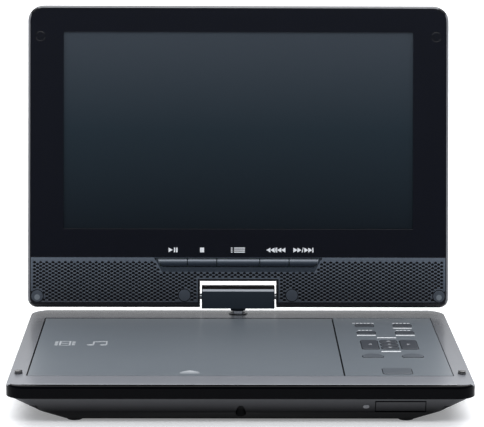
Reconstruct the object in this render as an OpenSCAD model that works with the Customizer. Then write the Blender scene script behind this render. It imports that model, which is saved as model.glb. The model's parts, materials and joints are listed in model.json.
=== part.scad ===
// Portable disc player with a swivelling screen lid on a wedge-sided base.
// X runs to the right, Y to the back and Z up. Lengths are in millimetres.

/* [Lid] */
// Width of the screen lid
lid_w = 240; // [236:1:246]
// Height of the lid along its own face
lid_h = 172; // [170:1:176]
// Depth of the lid from the hinge axis to its front face
lid_front = 8.2; // [7.8:0.1:8.6]
// Depth of the lid from the hinge axis to its rear face
lid_back = 8.2; // [8:0.1:9]
// Corner radius at the top of the lid
lid_top_r = 9; // [7:0.5:12]
// Corner radius at the bottom of the lid
lid_low_r = 5.3; // [4:0.1:6]
// Depth of the front frame, from the front face to the parting line
frame_depth = 6; // [5.6:0.1:6.4]
// Wall thickness of the moulded shells
wall = 2; // [1.6:0.1:2.4]
// Thickness of the plate behind the screen window
face_t = 2.2; // [2:0.1:2.4]
// Visible rim around the glossy window
rim_w = 1.7; // [1.2:0.1:2.4]
// Thickness of the glossy window sheet
window_t = 1.2; // [1:0.1:1.4]

/* [Screen] */
// Width of the lit screen area
screen_w = 199.2; // [194:0.2:203]
// Height of the lit screen area
screen_h = 112.1; // [108:0.1:114]
// Distance from the lid's top edge to the lit area
screen_drop = 15.2; // [13:0.1:17]
// Height of the speaker strip below the window
strip_h = 28.65; // [28:0.05:30]

/* [Lid keys] */
// Height of the lid keys above the lid's bottom edge
lid_key_up = 23.3; // [23:0.1:24]
// Height of one lid key
lid_key_h = 4.4; // [4:0.1:4.8]
// How far the lid keys stand out of the frame
lid_key_proud = 0.7; // [0.5:0.1:0.9]
// Gap between neighbouring lid keys
key_split = 0.4; // [0.3:0.05:0.6]

/* [Hinge] */
// Lean of the opened lid behind the vertical, in degrees
recline = 10.2; // [0:0.1:25]
// Height of the tilt axis above the lid's bottom edge
pivot_up = 6; // [5.8:0.1:6.4]
// Height of the tilt axis above the base's top
pivot_rise = 9.9; // [9.9:0.1:11]
// Distance of the tilt axis from the base's rear face
pivot_in = 10; // [9.6:0.1:12]
// Width of the notch in the lid
notch_w = 43.6; // [43:0.2:46]
// Height of the notch in the lid
notch_h = 14.95; // [14.9:0.05:16]
// Gap at each end of the hinge block
block_gap = 0.95; // [0.6:0.05:1.2]
// Radius of the tilt pins
pin_r = 1.65; // [1.4:0.05:1.9]
// Radius of the swivel post
post_r = 3.7; // [3.2:0.1:3.9]
// Radial clearance of turning pins
run_gap = 0.05; // [0.03:0.01:0.08]

/* [Base] */
// Width of the base at its band
base_w = 238; // [234:1:246]
// Depth of the base at its band
base_d = 176; // [174:1:182]
// Height of the base's top above the table
base_top = 21; // [20.8:0.1:23]
// Height of the band around the base
band_h = 7; // [6.8:0.1:7.2]
// Corner radius of the base in plan
base_corner_r = 10; // [8:0.5:14]
// Height of the rubber feet
foot_h = 1.2; // [1:0.1:1.3]
// Radius of the rubber feet
foot_r = 4; // [3:0.25:5]
// Thickness of the base's top plate
plate_t = 2.6; // [2.4:0.1:2.8]

/* [Door and drive] */
// Margin of the base's top beside the door
side_margin = 10; // [9.8:0.1:11]
// Margin of the base's top in front of the door
front_margin = 20.4; // [20:0.1:21]
// Width of the control panel beside the door
fascia_w = 55.6; // [54:0.1:57]
// Depth of the disc door
door_d = 132.6; // [131:0.2:133]
// Thickness of the disc door
door_t = 2.3; // [2.1:0.1:2.4]
// Gap around the door and the panels
panel_gap = 0.4; // [0.3:0.05:0.6]
// Radius of the disc well, for a 120 mm disc
well_r = 62; // [61:0.5:62.5]
// Radius of the turntable
table_r = 16; // [14:0.5:17]
// Radius of the hub that a disc clips on
hub_r = 7.4; // [7.3:0.05:7.5]
// Radius of the sled's guide rods
rod_r = 1; // [0.8:0.1:1.2]
// Travel of the laser sled
sled_travel = 34; // [30:1:35]

/* [Base keys] */
// Depth of a key row's small key
small_key_d = 5.6; // [4:0.1:6]
// Width of a key row's small key
small_key_w = 10; // [8:0.1:11]
// Spacing of the key columns
key_pitch = 10.6; // [10.4:0.1:11]
// Distance of the middle key column from the right edge of the panel
key_column_in = 27.8; // [27:0.1:30]
// How far the base keys stand out of their panel
key_proud = 0.4; // [0.2:0.05:0.6]
// Clearance around a key
key_gap = 0.3; // [0.25:0.05:0.4]

/* [Hidden] */
$fn = 64;
sheet = 0.01;
hull_fn = 32;
clear = 0.3;
lid_bottom = -pivot_up;
lid_top = lid_h - pivot_up;
lid_round = 1.4;
back_round = 4;
face_y = -lid_front;
part_y = face_y + frame_depth;
plate_y = face_y + face_t;
pivot_y = base_d - pivot_in;
pivot_z = base_top + pivot_rise;
lid_reach = pivot_y + (lid_top - back_round) * sin(recline) + lid_back * cos(recline);
mid_y = max(lid_reach, base_d) / 2;
block_w = notch_w - 2 * block_gap;
block_half = 6.2;
block_low = 5.9;
block_bore = 7;
pin_room = pin_r + 0.5;
bracket_low = 13.2;
bracket_w = 40;
bracket_t = 2;
bracket_in = pivot_in - wall - 0.6;
arm_t = 1.6;
arm_back_y = 3.6;
arm_low = -3.6;
arm_h = 17.6;
arm_foot_w = 22;
arm_foot_h = 8;
arm_post_x = notch_w / 2 + 16;
arm_post_z = 10;
arm_post_r = 3;

// Screen module and the boards behind it
lcd_t = 4.6;
lcd_edge = 6;
lcd_drop = 1;
lcd_y = plate_y + lcd_t;
board_w = 64;
board_h = 42;
board_up = lid_top / 2 + 12;
board_thin = 1.2;
board_front_y = lcd_y + 0.6;
board_back_y = board_front_y + board_thin;
board_post_in = 4;
stand_r = 2.5;
cone_rim = 3.4;
cone_sink = 1.2;
magnet_r = 6.5;
magnet_t = 7;

// Lid plugs and screws: [x, height above the lid's bottom edge]
plug_r = 2.75;
plug_t = 1.4;
boss_r = 4.2;
screw_r = 1.15;
screw_head_r = 2.5;
plug_spots = [
    [lid_w / 2 - 5.5, 6.4],
    [notch_w / 2 + 8.8, 6.9],
    [lid_w / 2 - 7.2, lid_h - 17.7]
];
speaker_x = 75;
speaker_up = 13.5;
speaker_w = 42;
speaker_h = 17;
grille_sink = 0.5;
grille_edge = 3;
hole_r = 0.75;
hole_pitch = 3.4;

// Lid keys, left to right
lid_key_w = [17.4, 16.7, 24.5, 16.7, 17.4];
lid_key_tilt = 2.6;
keys_w = lid_key_w[0] + lid_key_w[1] + lid_key_w[2] + lid_key_w[3] + lid_key_w[4];
lid_key_nodes = ["play_key", "stop_key", "menu_key", "back_key", "forward_key"];
lid_key_back = 0.8;
lid_key_ramp = -12;
surround_side = 1.6;
surround_lean = 4;
surround_low = 2.1;
notch_rim = 1.2;
function lid_key_left(i) = i == 0 ? -keys_w / 2 : lid_key_left(i - 1) + lid_key_w[i - 1];

// Base levels and the wedge sides of the lower shell
band_low = base_top - band_h;
plate_low = base_top - plate_t;
shell_in = 1;
waist_z = 6;
waist_x = 16.8;
waist_y = 4.5;
floor_x = 29.5;
floor_y = 10;
skin = 1.8;
groove_d = 1.5;
crown_drop = [1.9, 0.7, 0];
crown_in = [0, 0.5, 2.1];
crown_w = 9.2;
crown_tilt = 3.5;
floor_z = foot_h + skin;
front_slope = atan((waist_y - shell_in) / (band_low - waist_z));
side_slope = (waist_x - shell_in) / (band_low - waist_z);

// Door, control panel and disc well
panel_left = -base_w / 2 + side_margin;
panel_right = base_w / 2 - side_margin;
panel_back = front_margin + door_d;
door_w = panel_right - panel_left - fascia_w - panel_gap;
door_right = panel_left + door_w;
fascia_left = door_right + panel_gap;
door_low = base_top - door_t;
door_axis_y = panel_back - door_t / 2;
door_axis_z = base_top - door_t / 2;
door_pin_r = 0.75;
door_pin_l = 2.4;
pin_end = 0.4;
latch_w = 12;
latch_d = 8;
latch_low = band_low + 1;
latch_back = front_margin - 4;
latch_rail = 1.6;
latch_rail_l = 10.5;
tooth_y = front_margin + 3;
tooth_t = 1.6;
tooth_w = 6;
tooth_h = 2.6;
disc_x = panel_left + door_w / 2;
disc_y = front_margin + door_d / 2;
deck_t = 1.6;
deck_low = 11.7;
deck_floor = deck_low + 1.5;
deck_top = plate_low;
deck_side = 3.6;
deck_front = 3.2;
deck_back = 2;
well_wall = 1.5;
finger_r = 11;
finger_in = 8;
window_half = 23;
clamp_r = 18;
clamp_w = 1.6;
clamp_h = 0.9;

// Disc drive
chassis_z = waist_z;
chassis_t = 1.6;
chassis_top = chassis_z + chassis_t;
chassis_half = 36;
chassis_edge = 6;
damper_x = 30;
damper_y = [-64, 17];
damper_r = 4;
damper_neck_r = 1.7;
rod_post = 4.4;
rod_post_d = 4;
rod_z = chassis_top + 2;
rod_x = 20;
rod_near = 10;
rod_far = 68;
sled_start = 24;
window_reach = sled_start + sled_travel + 6.6;
sled_half = 8;
sled_w = 50.8;
sled_low = chassis_top + 0.4;
sled_high = deck_low - 0.4;
lens_r = 2.6;
feed_r = 1.25;
feed_x = 27;
feed_motor_r = 1.9;
feed_motor_ends = [-12.5, 3.5];
spindle_r = 9.5;
spindle_h = 4.8;
shaft_r = 1;
table_low = deck_floor;
table_high = table_low + 1.8;
hub_high = table_high + 2.3;

// Boards and sockets under the control panel
board_low = 12.4;
board_t = 1.6;
key_board_low = 15;
key_board_t = 1.2;
dome_h = 0.4;
socket_x = base_w / 2 - 13.6;
socket_t = 2;
socket_low = band_low - (base_w / 2 - shell_in - socket_x) / side_slope;
battery_left = fascia_left - 11.4;
battery_w = 42;
battery_h = 8.6;
battery_front = 36;
battery_back = base_d - 24;
board_edge = 16;
board_ear_d = 32;
chip_in = 14;
chip_h = 0.9;
board_posts = [
    [fascia_left + 4.6, 24], [panel_right - 11, 46],
    [fascia_left + 4.6, base_d - 20], [panel_right - 11, base_d - 20]
];
socket_end = 1.5;
jack_l = 14;
jack_w = 8;
dc_w = 9;
dc_pin_r = 0.6;
jack_lip = 0.8;
socket_front = 57;
socket_back = 133;
socket_z = 10.4;
jack_bore_r = 1.8;
jack_barrel_r = 2.7;
dc_bore_r = 1.8;
jack_spots = [72, 86];
dc_spot = 104;
switch_spot = 121;
switch_travel = 4;
dial_r = 8;
dial_x = base_w / 2 - 11.8;
dial_y = 32;
dial_low = 9.3;
dial_high = 11.8;
dial_shaft_r = 1.5;

// Port flap, charge lens and base screws
flap_x = base_w / 2 - 38.2;
flap_w = 25;
flap_h = 6;
flap_t = 1.5;
flap_drop = 2.2;
flap_pin_r = 0.5;
port_block_d = 7;
card_w = flap_w - 0.6;
card_slot = 2.6;
card_z = band_low + (flap_t + panel_gap) * sin(front_slope) - (flap_drop + flap_h / 2) * cos(front_slope);
charge_x = base_w / 2 - 55.6;
charge_w = 3.2;
charge_h = 2.2;
charge_drop = 6.1;
screw_x = base_w / 2 - 14.7;
screw_y = 5.4;
base_screws_at = [
    [-screw_x, screw_y], [0, screw_y], [screw_x, screw_y],
    [-screw_x, base_d - screw_y], [screw_x, base_d - screw_y]
];
well_hole_r = 2.7;
well_top = 11.2;
foot_x = base_w / 2 - 32.5 - foot_r / 2;
foot_front = 14.5;
foot_back = base_d - 26;
bumper_in = [5, 25.8];
bumper_r = 2.1;
bumper_h = 1.5;
bumper_dome = 2.6;

// Base keys: [x column, y, width, depth]
column_x = panel_right - key_column_in;
pad_w = key_pitch - 1 - 2 * key_gap;
pad_y = 88.3;
pad_d = 20.6;
pad_row = (pad_d + 1 + 2 * key_gap) / 3;
pad_small_d = pad_row - 1 - 2 * key_gap;
row_a = 134.5;
row_b = 117;
row_c = 63.5;
bottom_row = 29.7;
moon_r = 5.5;
moon_d = 8;
key_flange = key_gap + 0.3;
key_stem_low = plate_low - 1;
key_marks = [
    [column_x - key_pitch, row_a, small_key_w, small_key_d],
    [column_x + key_pitch, row_a, small_key_w, small_key_d],
    [column_x - key_pitch, row_b, small_key_w, small_key_d],
    [column_x + key_pitch, row_b, small_key_w, small_key_d],
    [column_x, pad_y + pad_row, pad_w, pad_small_d],
    [column_x, pad_y - pad_row, pad_w, pad_small_d],
    [column_x - key_pitch, pad_y, pad_w, pad_d],
    [column_x + key_pitch, pad_y, pad_w, pad_d],
    [column_x, pad_y, pad_w, pad_small_d],
    [column_x - key_pitch, row_c, 2 * moon_r, moon_d],
    [column_x + key_pitch, row_c, 2 * moon_r, moon_d],
    [column_x - 0.2, bottom_row, 15, 12]
];
moon_keys = [9, 10];
base_key_nodes = [
    "setup_key", "subtitle_key", "display_key", "audio_key", "up_key", "down_key",
    "left_key", "right_key", "enter_key", "return_key", "repeat_key", "source_key"
];

black = "#101113";
charcoal = "#2b2d31";
grey = "#73767e";
steel = "#b9bcc2";
board_green = "#1f4d36";

// Shared shapes

// Rectangle with its bottom edge centred on the origin and its own low and top corner radii
module panel2d(w, h, low_r, top_r) {
    translate([-w / 2, low_r]) square([w, h - low_r - top_r]);
    translate([-w / 2 + low_r, 0]) square([w - 2 * low_r, low_r + sheet]);
    translate([-w / 2 + top_r, h - top_r - sheet]) square([w - 2 * top_r, top_r + sheet]);
    for (side = [-1, 1]) {
        translate([side * (w / 2 - low_r), low_r]) circle(low_r);
        translate([side * (w / 2 - top_r), h - top_r]) circle(top_r);
    }
}

// Rounded rectangle centred on the origin
module round2d(w, d, r) {
    translate([0, -d / 2]) panel2d(w, d, r, r);
}

// Extrudes an X-Z outline along Y, from y0 to y1
module slab(y0, y1) {
    translate([0, y1, 0]) rotate([90, 0, 0]) linear_extrude(y1 - y0) children();
}

// Cylinder along X, from x0 to x1
module rod_along_x(r, x0, x1) {
    translate([x0, 0, 0]) rotate([0, 90, 0]) cylinder(r = r, h = x1 - x0);
}

// Cylinder along Y, from y0 to y1
module rod_along_y(r, y0, y1) {
    translate([0, y0, 0]) rotate([-90, 0, 0]) cylinder(r = r, h = y1 - y0);
}

// Base frame, centred front to back under the whole player
module on_base() {
    translate([0, -mid_y, 0]) children();
}

// Lid frame: the origin on the tilt axis, Z up along the lid
module on_lid() {
    on_base() translate([0, pivot_y, pivot_z]) rotate([-recline, 0, 0]) children();
}

// Front slope of the lower shell: the origin under the band, Z up along the slope
module on_slope(x) {
    translate([x, shell_in, band_low]) rotate([front_slope, 0, 0]) children();
}

// Lid outline drawn in by an inset
module lid_outline(inset) {
    low_r = max(lid_low_r - inset, 1);
    top_r = max(lid_top_r - inset, 1);
    translate([0, lid_bottom + inset]) panel2d(lid_w - 2 * inset, lid_h - 2 * inset, low_r, top_r);
}

// One level of a rounded lid shell, from y0 to y1
module lid_level(y0, y1, inset) {
    slab(y0, y1) lid_outline(inset, $fn = hull_fn);
}

// Opening for the hinge block, through the whole lid
module lid_notch(grow) {
    translate([-notch_w / 2 - grow, face_y - 1, lid_bottom - 1])
        cube([notch_w + 2 * grow, lid_front + lid_back + 2, notch_h + 1 + grow]);
}

// Places a child at every plug of the lid
module at_plugs() {
    for (spot = plug_spots)
        for (side = [-1, 1])
            translate([side * spot[0], 0, lid_bottom + spot[1]]) children();
}

// Lid

// Outline of one lid key: its outer end leans in when it stands at an end of the row
module lid_key2d(i) {
    left = lid_key_left(i) + key_split / 2;
    right = lid_key_left(i) + lid_key_w[i] - key_split / 2;
    lean_left = i == 0 ? lid_key_tilt : 0;
    lean_right = i == 4 ? lid_key_tilt : 0;
    low = lid_bottom + lid_key_up;
    high = low + lid_key_h;
    polygon([[left + lean_left, low], [right - lean_right, low], [right, high], [left, high]]);
}

// Slot that the row of lid keys shares
module lid_key_slot2d() {
    low = lid_bottom + lid_key_up - key_gap;
    high = lid_bottom + lid_key_up + lid_key_h + key_gap;
    half = keys_w / 2 + key_gap;
    polygon([[-half + lid_key_tilt, low], [half - lid_key_tilt, low], [half, high], [-half, high]]);
}

// Recess of the speaker strip, drawn round the key row's plain surround
module strip_recess2d() {
    half = keys_w / 2 + surround_side;
    low = lid_bottom + lid_key_up - surround_low;
    high = lid_bottom + strip_h;
    difference() {
        translate([0, lid_bottom + grille_edge])
            panel2d(lid_w - 2 * grille_edge, strip_h - grille_edge - rim_w, lid_low_r - grille_edge + 0.3, 1);
        polygon([[surround_lean - half, low], [half - surround_lean, low], [half, high], [-half, high]]);
        for (spot = plug_spots)
            for (side = [-1, 1])
                translate([side * spot[0], lid_bottom + spot[1]]) circle(boss_r - 0.4);
        translate([-notch_w / 2 - notch_rim, lid_bottom - 1])
            square([notch_w + 2 * notch_rim, notch_h + 1 + notch_rim]);
    }
}

// Holes over one speaker, in staggered rows
module grille_holes() {
    row_step = hole_pitch * sin(60);
    rows = floor((speaker_h / 2 - 1) / row_step);
    columns = floor((speaker_w / 2 - 2) / hole_pitch);
    for (row = [-rows : rows])
        for (column = [-columns : columns])
            translate([column * hole_pitch + (row % 2 == 0 ? 0 : hole_pitch / 2), 0, row * row_step])
                rod_along_y(hole_r, face_y - 1, plate_y + 1);
}

// Opening for the lit screen in the frame's plate
module screen_opening2d(grow) {
    translate([-screen_w / 2 - grow, lid_top - screen_drop - screen_h - grow])
        square([screen_w + 2 * grow, screen_h + 2 * grow]);
}

// Outline of the glossy window
module window2d(grow) {
    w = lid_w - 2 * rim_w + 2 * grow;
    h = lid_h - strip_h - rim_w + 2 * grow;
    translate([0, lid_bottom + strip_h - grow]) panel2d(w, h, 0.8, lid_top_r - rim_w + grow);
}

module lid_front_frame() {
    color(black) difference() {
        union() {
            difference() {
                hull() {
                    lid_level(face_y, face_y + 0.1, lid_round);
                    lid_level(face_y + 0.4, face_y + 0.5, lid_round * 0.35);
                    lid_level(face_y + lid_round, part_y, 0);
                }
                slab(plate_y, part_y + 1) lid_outline(wall);
            }
            at_plugs() rod_along_y(boss_r, plate_y - sheet, part_y);
            intersection() {
                lid_notch(wall);
                slab(plate_y - sheet, part_y) lid_outline(0);
            }
        }
        lid_notch(0);
        slab(face_y - 1, face_y + window_t) window2d(0.1);
        slab(face_y - 1, plate_y + 1) screen_opening2d(1);
        slab(face_y - 1, face_y + grille_sink) strip_recess2d();
        slab(face_y - 1, plate_y + 1) lid_key_slot2d();
        for (side = [-1, 1]) translate([side * speaker_x, 0, lid_bottom + speaker_up]) grille_holes();
        at_plugs() {
            rod_along_y(plug_r + sheet, face_y - 1, face_y + plug_t + 1.8);
            rod_along_y(screw_r + sheet, face_y, part_y + 1);
        }
        rod_along_x(pin_room, -lid_w / 4, lid_w / 4);
    }
}

module lid_rear_cover() {
    inner_y = lid_back - wall;
    color(charcoal) difference() {
        union() {
            difference() {
                hull() {
                    lid_level(part_y, lid_back - back_round, 0);
                    lid_level(lid_back - 1.6, lid_back - 1.4, back_round * 0.3);
                    lid_level(lid_back - 0.2, lid_back, back_round);
                }
                slab(part_y - 1, lid_back - back_round) lid_outline(wall);
                slab(part_y - 1, inner_y) lid_outline(wall + 2);
            }
            at_plugs() rod_along_y(boss_r, part_y, inner_y + sheet);
            for (side = [-1, 1]) translate([side * arm_post_x, 0, arm_post_z])
                rod_along_y(arm_post_r, arm_back_y, inner_y + sheet);
            for (side_x = [-1, 1])
                for (side_z = [-1, 1])
                    translate([side_x * (board_w / 2 - board_post_in), 0, board_up])
                        translate([0, 0, side_z * (board_h / 2 - board_post_in)])
                            rod_along_y(stand_r, board_back_y, inner_y + sheet);
            intersection() {
                lid_notch(wall);
                slab(part_y, lid_back - back_round) lid_outline(0);
            }
        }
        lid_notch(0);
        at_plugs() rod_along_y(screw_r + sheet, part_y - 1, inner_y - 0.6);
        rod_along_x(pin_room, -lid_w / 4, lid_w / 4);
    }
}

// Glossy border with an opening over the lit area
module screen_window() {
    color(black) difference() {
        slab(face_y + 0.1, face_y + window_t) window2d(0);
        slab(face_y - 1, plate_y) screen_opening2d(0);
        at_plugs() rod_along_y(plug_r + sheet, face_y - 1, plate_y);
    }
}

// The screen module sits against the frame's plate, with its glass in the opening
module lcd_panel() {
    color("#1b2026") {
        slab(plate_y, lcd_y) translate([0, -lcd_drop]) screen_opening2d(lcd_edge);
        slab(face_y + window_t, plate_y) screen_opening2d(0.6);
    }
}

module display_board() {
    color(board_green) {
        translate([-board_w / 2, board_front_y, board_up - board_h / 2]) cube([board_w, board_thin, board_h]);
        translate([-8, board_back_y - sheet, board_up - 8]) cube([16, 1.4, 16]);
        translate([-24, board_back_y - sheet, board_up + 11]) cube([22, 2.4, 4]);
        translate([14, board_back_y - sheet, board_up - 14]) cube([10, 2, 8]);
    }
}

// Two oval drivers with dished cones, against the frame's plate
module speakers() {
    color(charcoal) for (side = [-1, 1]) translate([side * speaker_x, 0, lid_bottom + speaker_up])
        difference() {
            union() {
                slab(plate_y, plate_y + cone_rim) round2d(speaker_w, speaker_h, speaker_h / 2 - sheet);
                rod_along_y(magnet_r, plate_y, plate_y + magnet_t);
            }
            slab(plate_y - 1, plate_y + cone_sink) round2d(speaker_w - 4, speaker_h - 4, speaker_h / 2 - 2.1);
            rod_along_y(magnet_r - 1.5, plate_y, plate_y + cone_sink + 0.8);
        }
}

// Narrow board with one switch behind each lid key
module lid_key_board() {
    front = part_y - 0.8;
    switch_y = plate_y + clear + 1.4;
    mid_z = lid_bottom + lid_key_up + lid_key_h / 2;
    color(board_green) {
        translate([-keys_w / 2 - 3, front, mid_z - 3.2]) cube([keys_w + 6, board_thin, 6.4]);
        for (i = [0 : 4]) translate([lid_key_left(i) + lid_key_w[i] / 2, 0, mid_z]) {
            translate([-2.2, front - 1, -2.2]) cube([4.4, 1 + sheet, 4.4]);
            rod_along_y(1.1, switch_y, front);
        }
        for (side = [-1, 1]) translate([side * (keys_w / 2 + 1.5) - 1.5, plate_y, mid_z - 1.5])
            cube([3, front - plate_y + sheet, 3]);
    }
}

module lid_screw_plugs() {
    color("#1c1d20") at_plugs() rod_along_y(plug_r, face_y, face_y + plug_t);
}

module lid_screws() {
    color(steel) at_plugs() {
        rod_along_y(screw_head_r, face_y + plug_t + 0.2, face_y + plug_t + 1.8);
        rod_along_y(screw_r, face_y + plug_t + 1.7, lid_back - wall - 1);
    }
}

// Steel bracket in the lid that carries one tilt pin
module hinge_arm(side) {
    near = notch_w / 2 + wall + 0.2;
    color(steel) mirror([side < 0 ? 1 : 0, 0, 0]) {
        translate([near, arm_low, arm_low]) cube([arm_t, arm_back_y - arm_low, arm_h]);
        translate([near, arm_back_y - arm_t, arm_post_z - arm_foot_h / 2])
            cube([arm_foot_w, arm_t, arm_foot_h]);
        rod_along_x(pin_r, block_w / 2 - block_bore + 1, near + arm_t / 2);
    }
}

// Rocker-shaped key: a ridge along its front, and a flange behind the frame's plate
module lid_key(i) {
    low = lid_bottom + lid_key_up;
    ridge = low + lid_key_h * 0.55;
    flange_y = plate_y + clear;
    color(black) {
        difference() {
            slab(face_y - lid_key_proud, flange_y + 0.5) lid_key2d(i);
            translate([-keys_w / 2 - 1, face_y - lid_key_proud, ridge])
                rotate([lid_key_ramp, 0, 0]) translate([0, -2, 0]) cube([keys_w + 2, 2, lid_key_h]);
        }
        translate([lid_key_left(i) + lid_key_w[i] * 0.25, flange_y, low - 1.1])
            cube([lid_key_w[i] * 0.5, lid_key_back, lid_key_h + 2.2]);
    }
}

// Hinge

module hinge_block() {
    color("#33363b") on_base() translate([0, pivot_y, pivot_z]) difference() {
        union() {
            translate([-block_w / 2, 0, 0]) rotate([90, 0, 90]) linear_extrude(block_w) block_profile2d();
            translate([0, 0, -block_low - 2]) cylinder(r = post_r + 0.65, h = 2 + sheet);
        }
        for (side = [0, 1]) mirror([side, 0, 0])
            rod_along_x(pin_r + run_gap, block_w / 2 - block_bore, block_w / 2 + 1);
        translate([0, 0, -block_low - 3]) cylinder(r = post_r + sheet, h = 5);
    }
}

// Section of the hinge block: a chamfered front edge and a rounded back, inside the notch's sweep
module block_profile2d() {
    polygon([
        [-block_half, -block_low], [block_half, -block_low], [block_half, 2.6], [4.2, 5.6],
        [1.5, 6.4], [-4.3, 6.4], [-4.9, 5.2], [-block_half, 3.2]
    ]);
}

module swivel_post() {
    color(steel) on_base() translate([0, pivot_y, 0]) {
        translate([0, 0, bracket_low - 0.3])
            cylinder(r = post_r, h = pivot_z - block_low - bracket_low + 2.2);
        translate([0, 0, bracket_low - 1.3]) cylinder(r = post_r + 1.6, h = 1.1);
    }
}

module swivel_bracket() {
    color(steel) on_base() translate([0, pivot_y, 0]) difference() {
        union() {
            translate([-bracket_w / 2, -bracket_in, plate_low - bracket_t])
                cube([bracket_w, 2 * bracket_in, bracket_t]);
            translate([0, 0, bracket_low]) cylinder(r = post_r + 2, h = plate_low - bracket_low);
        }
        translate([0, 0, bracket_low - 1]) cylinder(r = post_r + run_gap, h = base_top);
    }
}

// Base shells

// One thin level of the base in plan, drawn in by insets
module base_level(z, in_x, in_y) {
    r = max(base_corner_r - min(in_x, in_y), 2);
    translate([0, base_d / 2, z]) linear_extrude(sheet)
        round2d(base_w - 2 * in_x, base_d - 2 * in_y, r, $fn = hull_fn);
}

// Wedge-sided form of the lower shell; grow draws it in for the hollow
module lower_form(grow) {
    hull() {
        base_level(band_low - sheet + (grow > 0 ? 1 : 0), shell_in + grow, shell_in + grow);
        base_level(waist_z + grow, waist_x + grow, waist_y + grow);
        base_level(foot_h + grow, floor_x + grow, floor_y + grow);
    }
}

// Places a child at every foot
module at_feet() {
    for (side = [-1, 1])
        for (y = [foot_front, foot_back]) translate([side * foot_x, y, 0]) children();
}

// Places a child at every base screw
module at_base_screws() {
    for (spot = base_screws_at) translate([spot[0], spot[1], 0]) children();
}

module base_bottom_shell() {
    color(charcoal) on_base() difference() {
        union() {
            difference() {
                lower_form(0);
                lower_form(skin);
            }
            intersection() {
                lower_form(0);
                union() {
                    at_base_screws() cylinder(r = well_hole_r + 1.6, h = band_low);
                    for (spot = board_posts)
                        translate([spot[0], spot[1], 0]) cylinder(r = stand_r, h = board_low);
                    translate([flap_x - flap_w / 2 - 3, 0, 0]) cube([flap_w + 6, port_block_d, band_low]);
                    translate([charge_x - 4, 0, 0]) cube([8, port_block_d, band_low]);
                }
            }
        }
        at_base_screws() {
            translate([0, 0, -1]) cylinder(r = well_hole_r, h = well_top + 1);
            cylinder(r = screw_r + sheet, h = band_low + 1);
        }
        on_slope(flap_x) flap_recess();
        translate([flap_x - card_w / 2, 0, card_z - card_slot / 2])
            cube([card_w, port_block_d + 4, card_slot]);
        on_slope(charge_x) slab(-2, port_block_d + 2) charge2d(0.05);
        translate([socket_x - jack_l - 2, socket_front - socket_end, socket_low])
            cube([base_w, socket_back - socket_front + 2 * socket_end, base_top]);
        translate([dial_x, dial_y, dial_low - 0.5]) cylinder(r = dial_r + 0.6, h = dial_high - dial_low + 1);
    }
}

// Outline of the charge lamp's window on the slope
module charge2d(grow) {
    translate([0, charge_h / 2 - charge_drop])
        round2d(charge_w + 2 * grow, charge_h + 2 * grow, charge_h / 2 + grow - sheet);
}

// Pocket for the flap, and its pin holes
module flap_recess() {
    low = -flap_drop - flap_h;
    translate([-flap_w / 2 - panel_gap, -2, low - panel_gap])
        cube([flap_w + 2 * panel_gap, flap_t + 2 + panel_gap, flap_h + 2 * panel_gap]);
    translate([0, flap_t / 2, low + flap_t / 2])
        rod_along_x(flap_pin_r + run_gap, -flap_w / 2 - 2, flap_w / 2 + 2);
}

module base_top_cover() {
    color(grey) on_base() difference() {
        union() {
            difference() {
                hull() {
                    base_level(band_low, 0, 0);
                    for (i = [0 : len(crown_drop) - 1])
                        base_level(base_top - max(crown_drop[i], sheet), crown_in[i], crown_in[i]);
                }
                translate([0, base_d / 2, band_low - 1]) linear_extrude(plate_low - band_low + 1)
                    round2d(base_w - 2 * wall - 1, base_d - 2 * wall - 1, base_corner_r - wall);
            }
            at_base_screws() translate([0, 0, band_low])
                cylinder(r = boss_r, h = plate_low - band_low + sheet);
            for (side = [0, 1]) translate([disc_x, 0, 0]) mirror([side, 0, 0])
                translate([latch_w / 2 + clear, latch_back - latch_rail_l + 0.1, latch_low])
                    cube([latch_rail, latch_rail_l, plate_low - latch_low + sheet]);
            translate([0, pivot_y, base_top - sheet]) cylinder(r = post_r + 1.65, h = 0.6);
        }
        panel_opening();
        for (side = [0, 1]) mirror([side, 0, 0]) translate([base_w / 2 - crown_w, -1, base_top])
            rotate([0, crown_tilt, 0]) cube([2 * crown_w, base_d + 2, 3]);
        translate([0, pivot_y, plate_low - 1]) cylinder(r = post_r + 0.4, h = plate_t + 3);
        at_base_screws() translate([0, 0, band_low - 1])
            cylinder(r = screw_r + sheet, h = plate_low - band_low);
        translate([0, door_axis_y, door_axis_z])
            rod_along_x(door_pin_r + run_gap, panel_left - door_pin_l - pin_end, panel_left);
        for (side = [-1, 1]) translate([side * (base_w / 2 - bumper_in[0]), bumper_in[1], base_top - 1])
            cylinder(r = bumper_r + sheet, h = 2);
    }
}

// Opening of the top plate that the door and the control panel share, with a groove along its right edge
module panel_opening() {
    translate([panel_left - panel_gap, front_margin - panel_gap, plate_low - 1])
        cube([panel_right - panel_left + panel_gap, door_d + 2 * panel_gap, plate_t + 2]);
    translate([panel_right - sheet, front_margin - panel_gap, base_top - groove_d])
        cube([panel_gap + sheet, door_d + 2 * panel_gap, groove_d + 1]);
}

// Outline of one base key; the two lower keys are half moons
module base_key2d(i, grow) {
    mark = key_marks[i];
    translate([mark[0], mark[1]])
        if (len([for (m = moon_keys) if (m == i) m]) > 0) {
            intersection() {
                translate([0, moon_d / 2 - moon_r]) circle(moon_r + grow);
                translate([-moon_r - grow, -moon_d / 2 - grow])
                    square([2 * moon_r + 2 * grow, moon_d + 2 * grow]);
            }
        } else {
            round2d(mark[2] + 2 * grow, mark[3] + 2 * grow, 1 + grow);
        }
}

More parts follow.
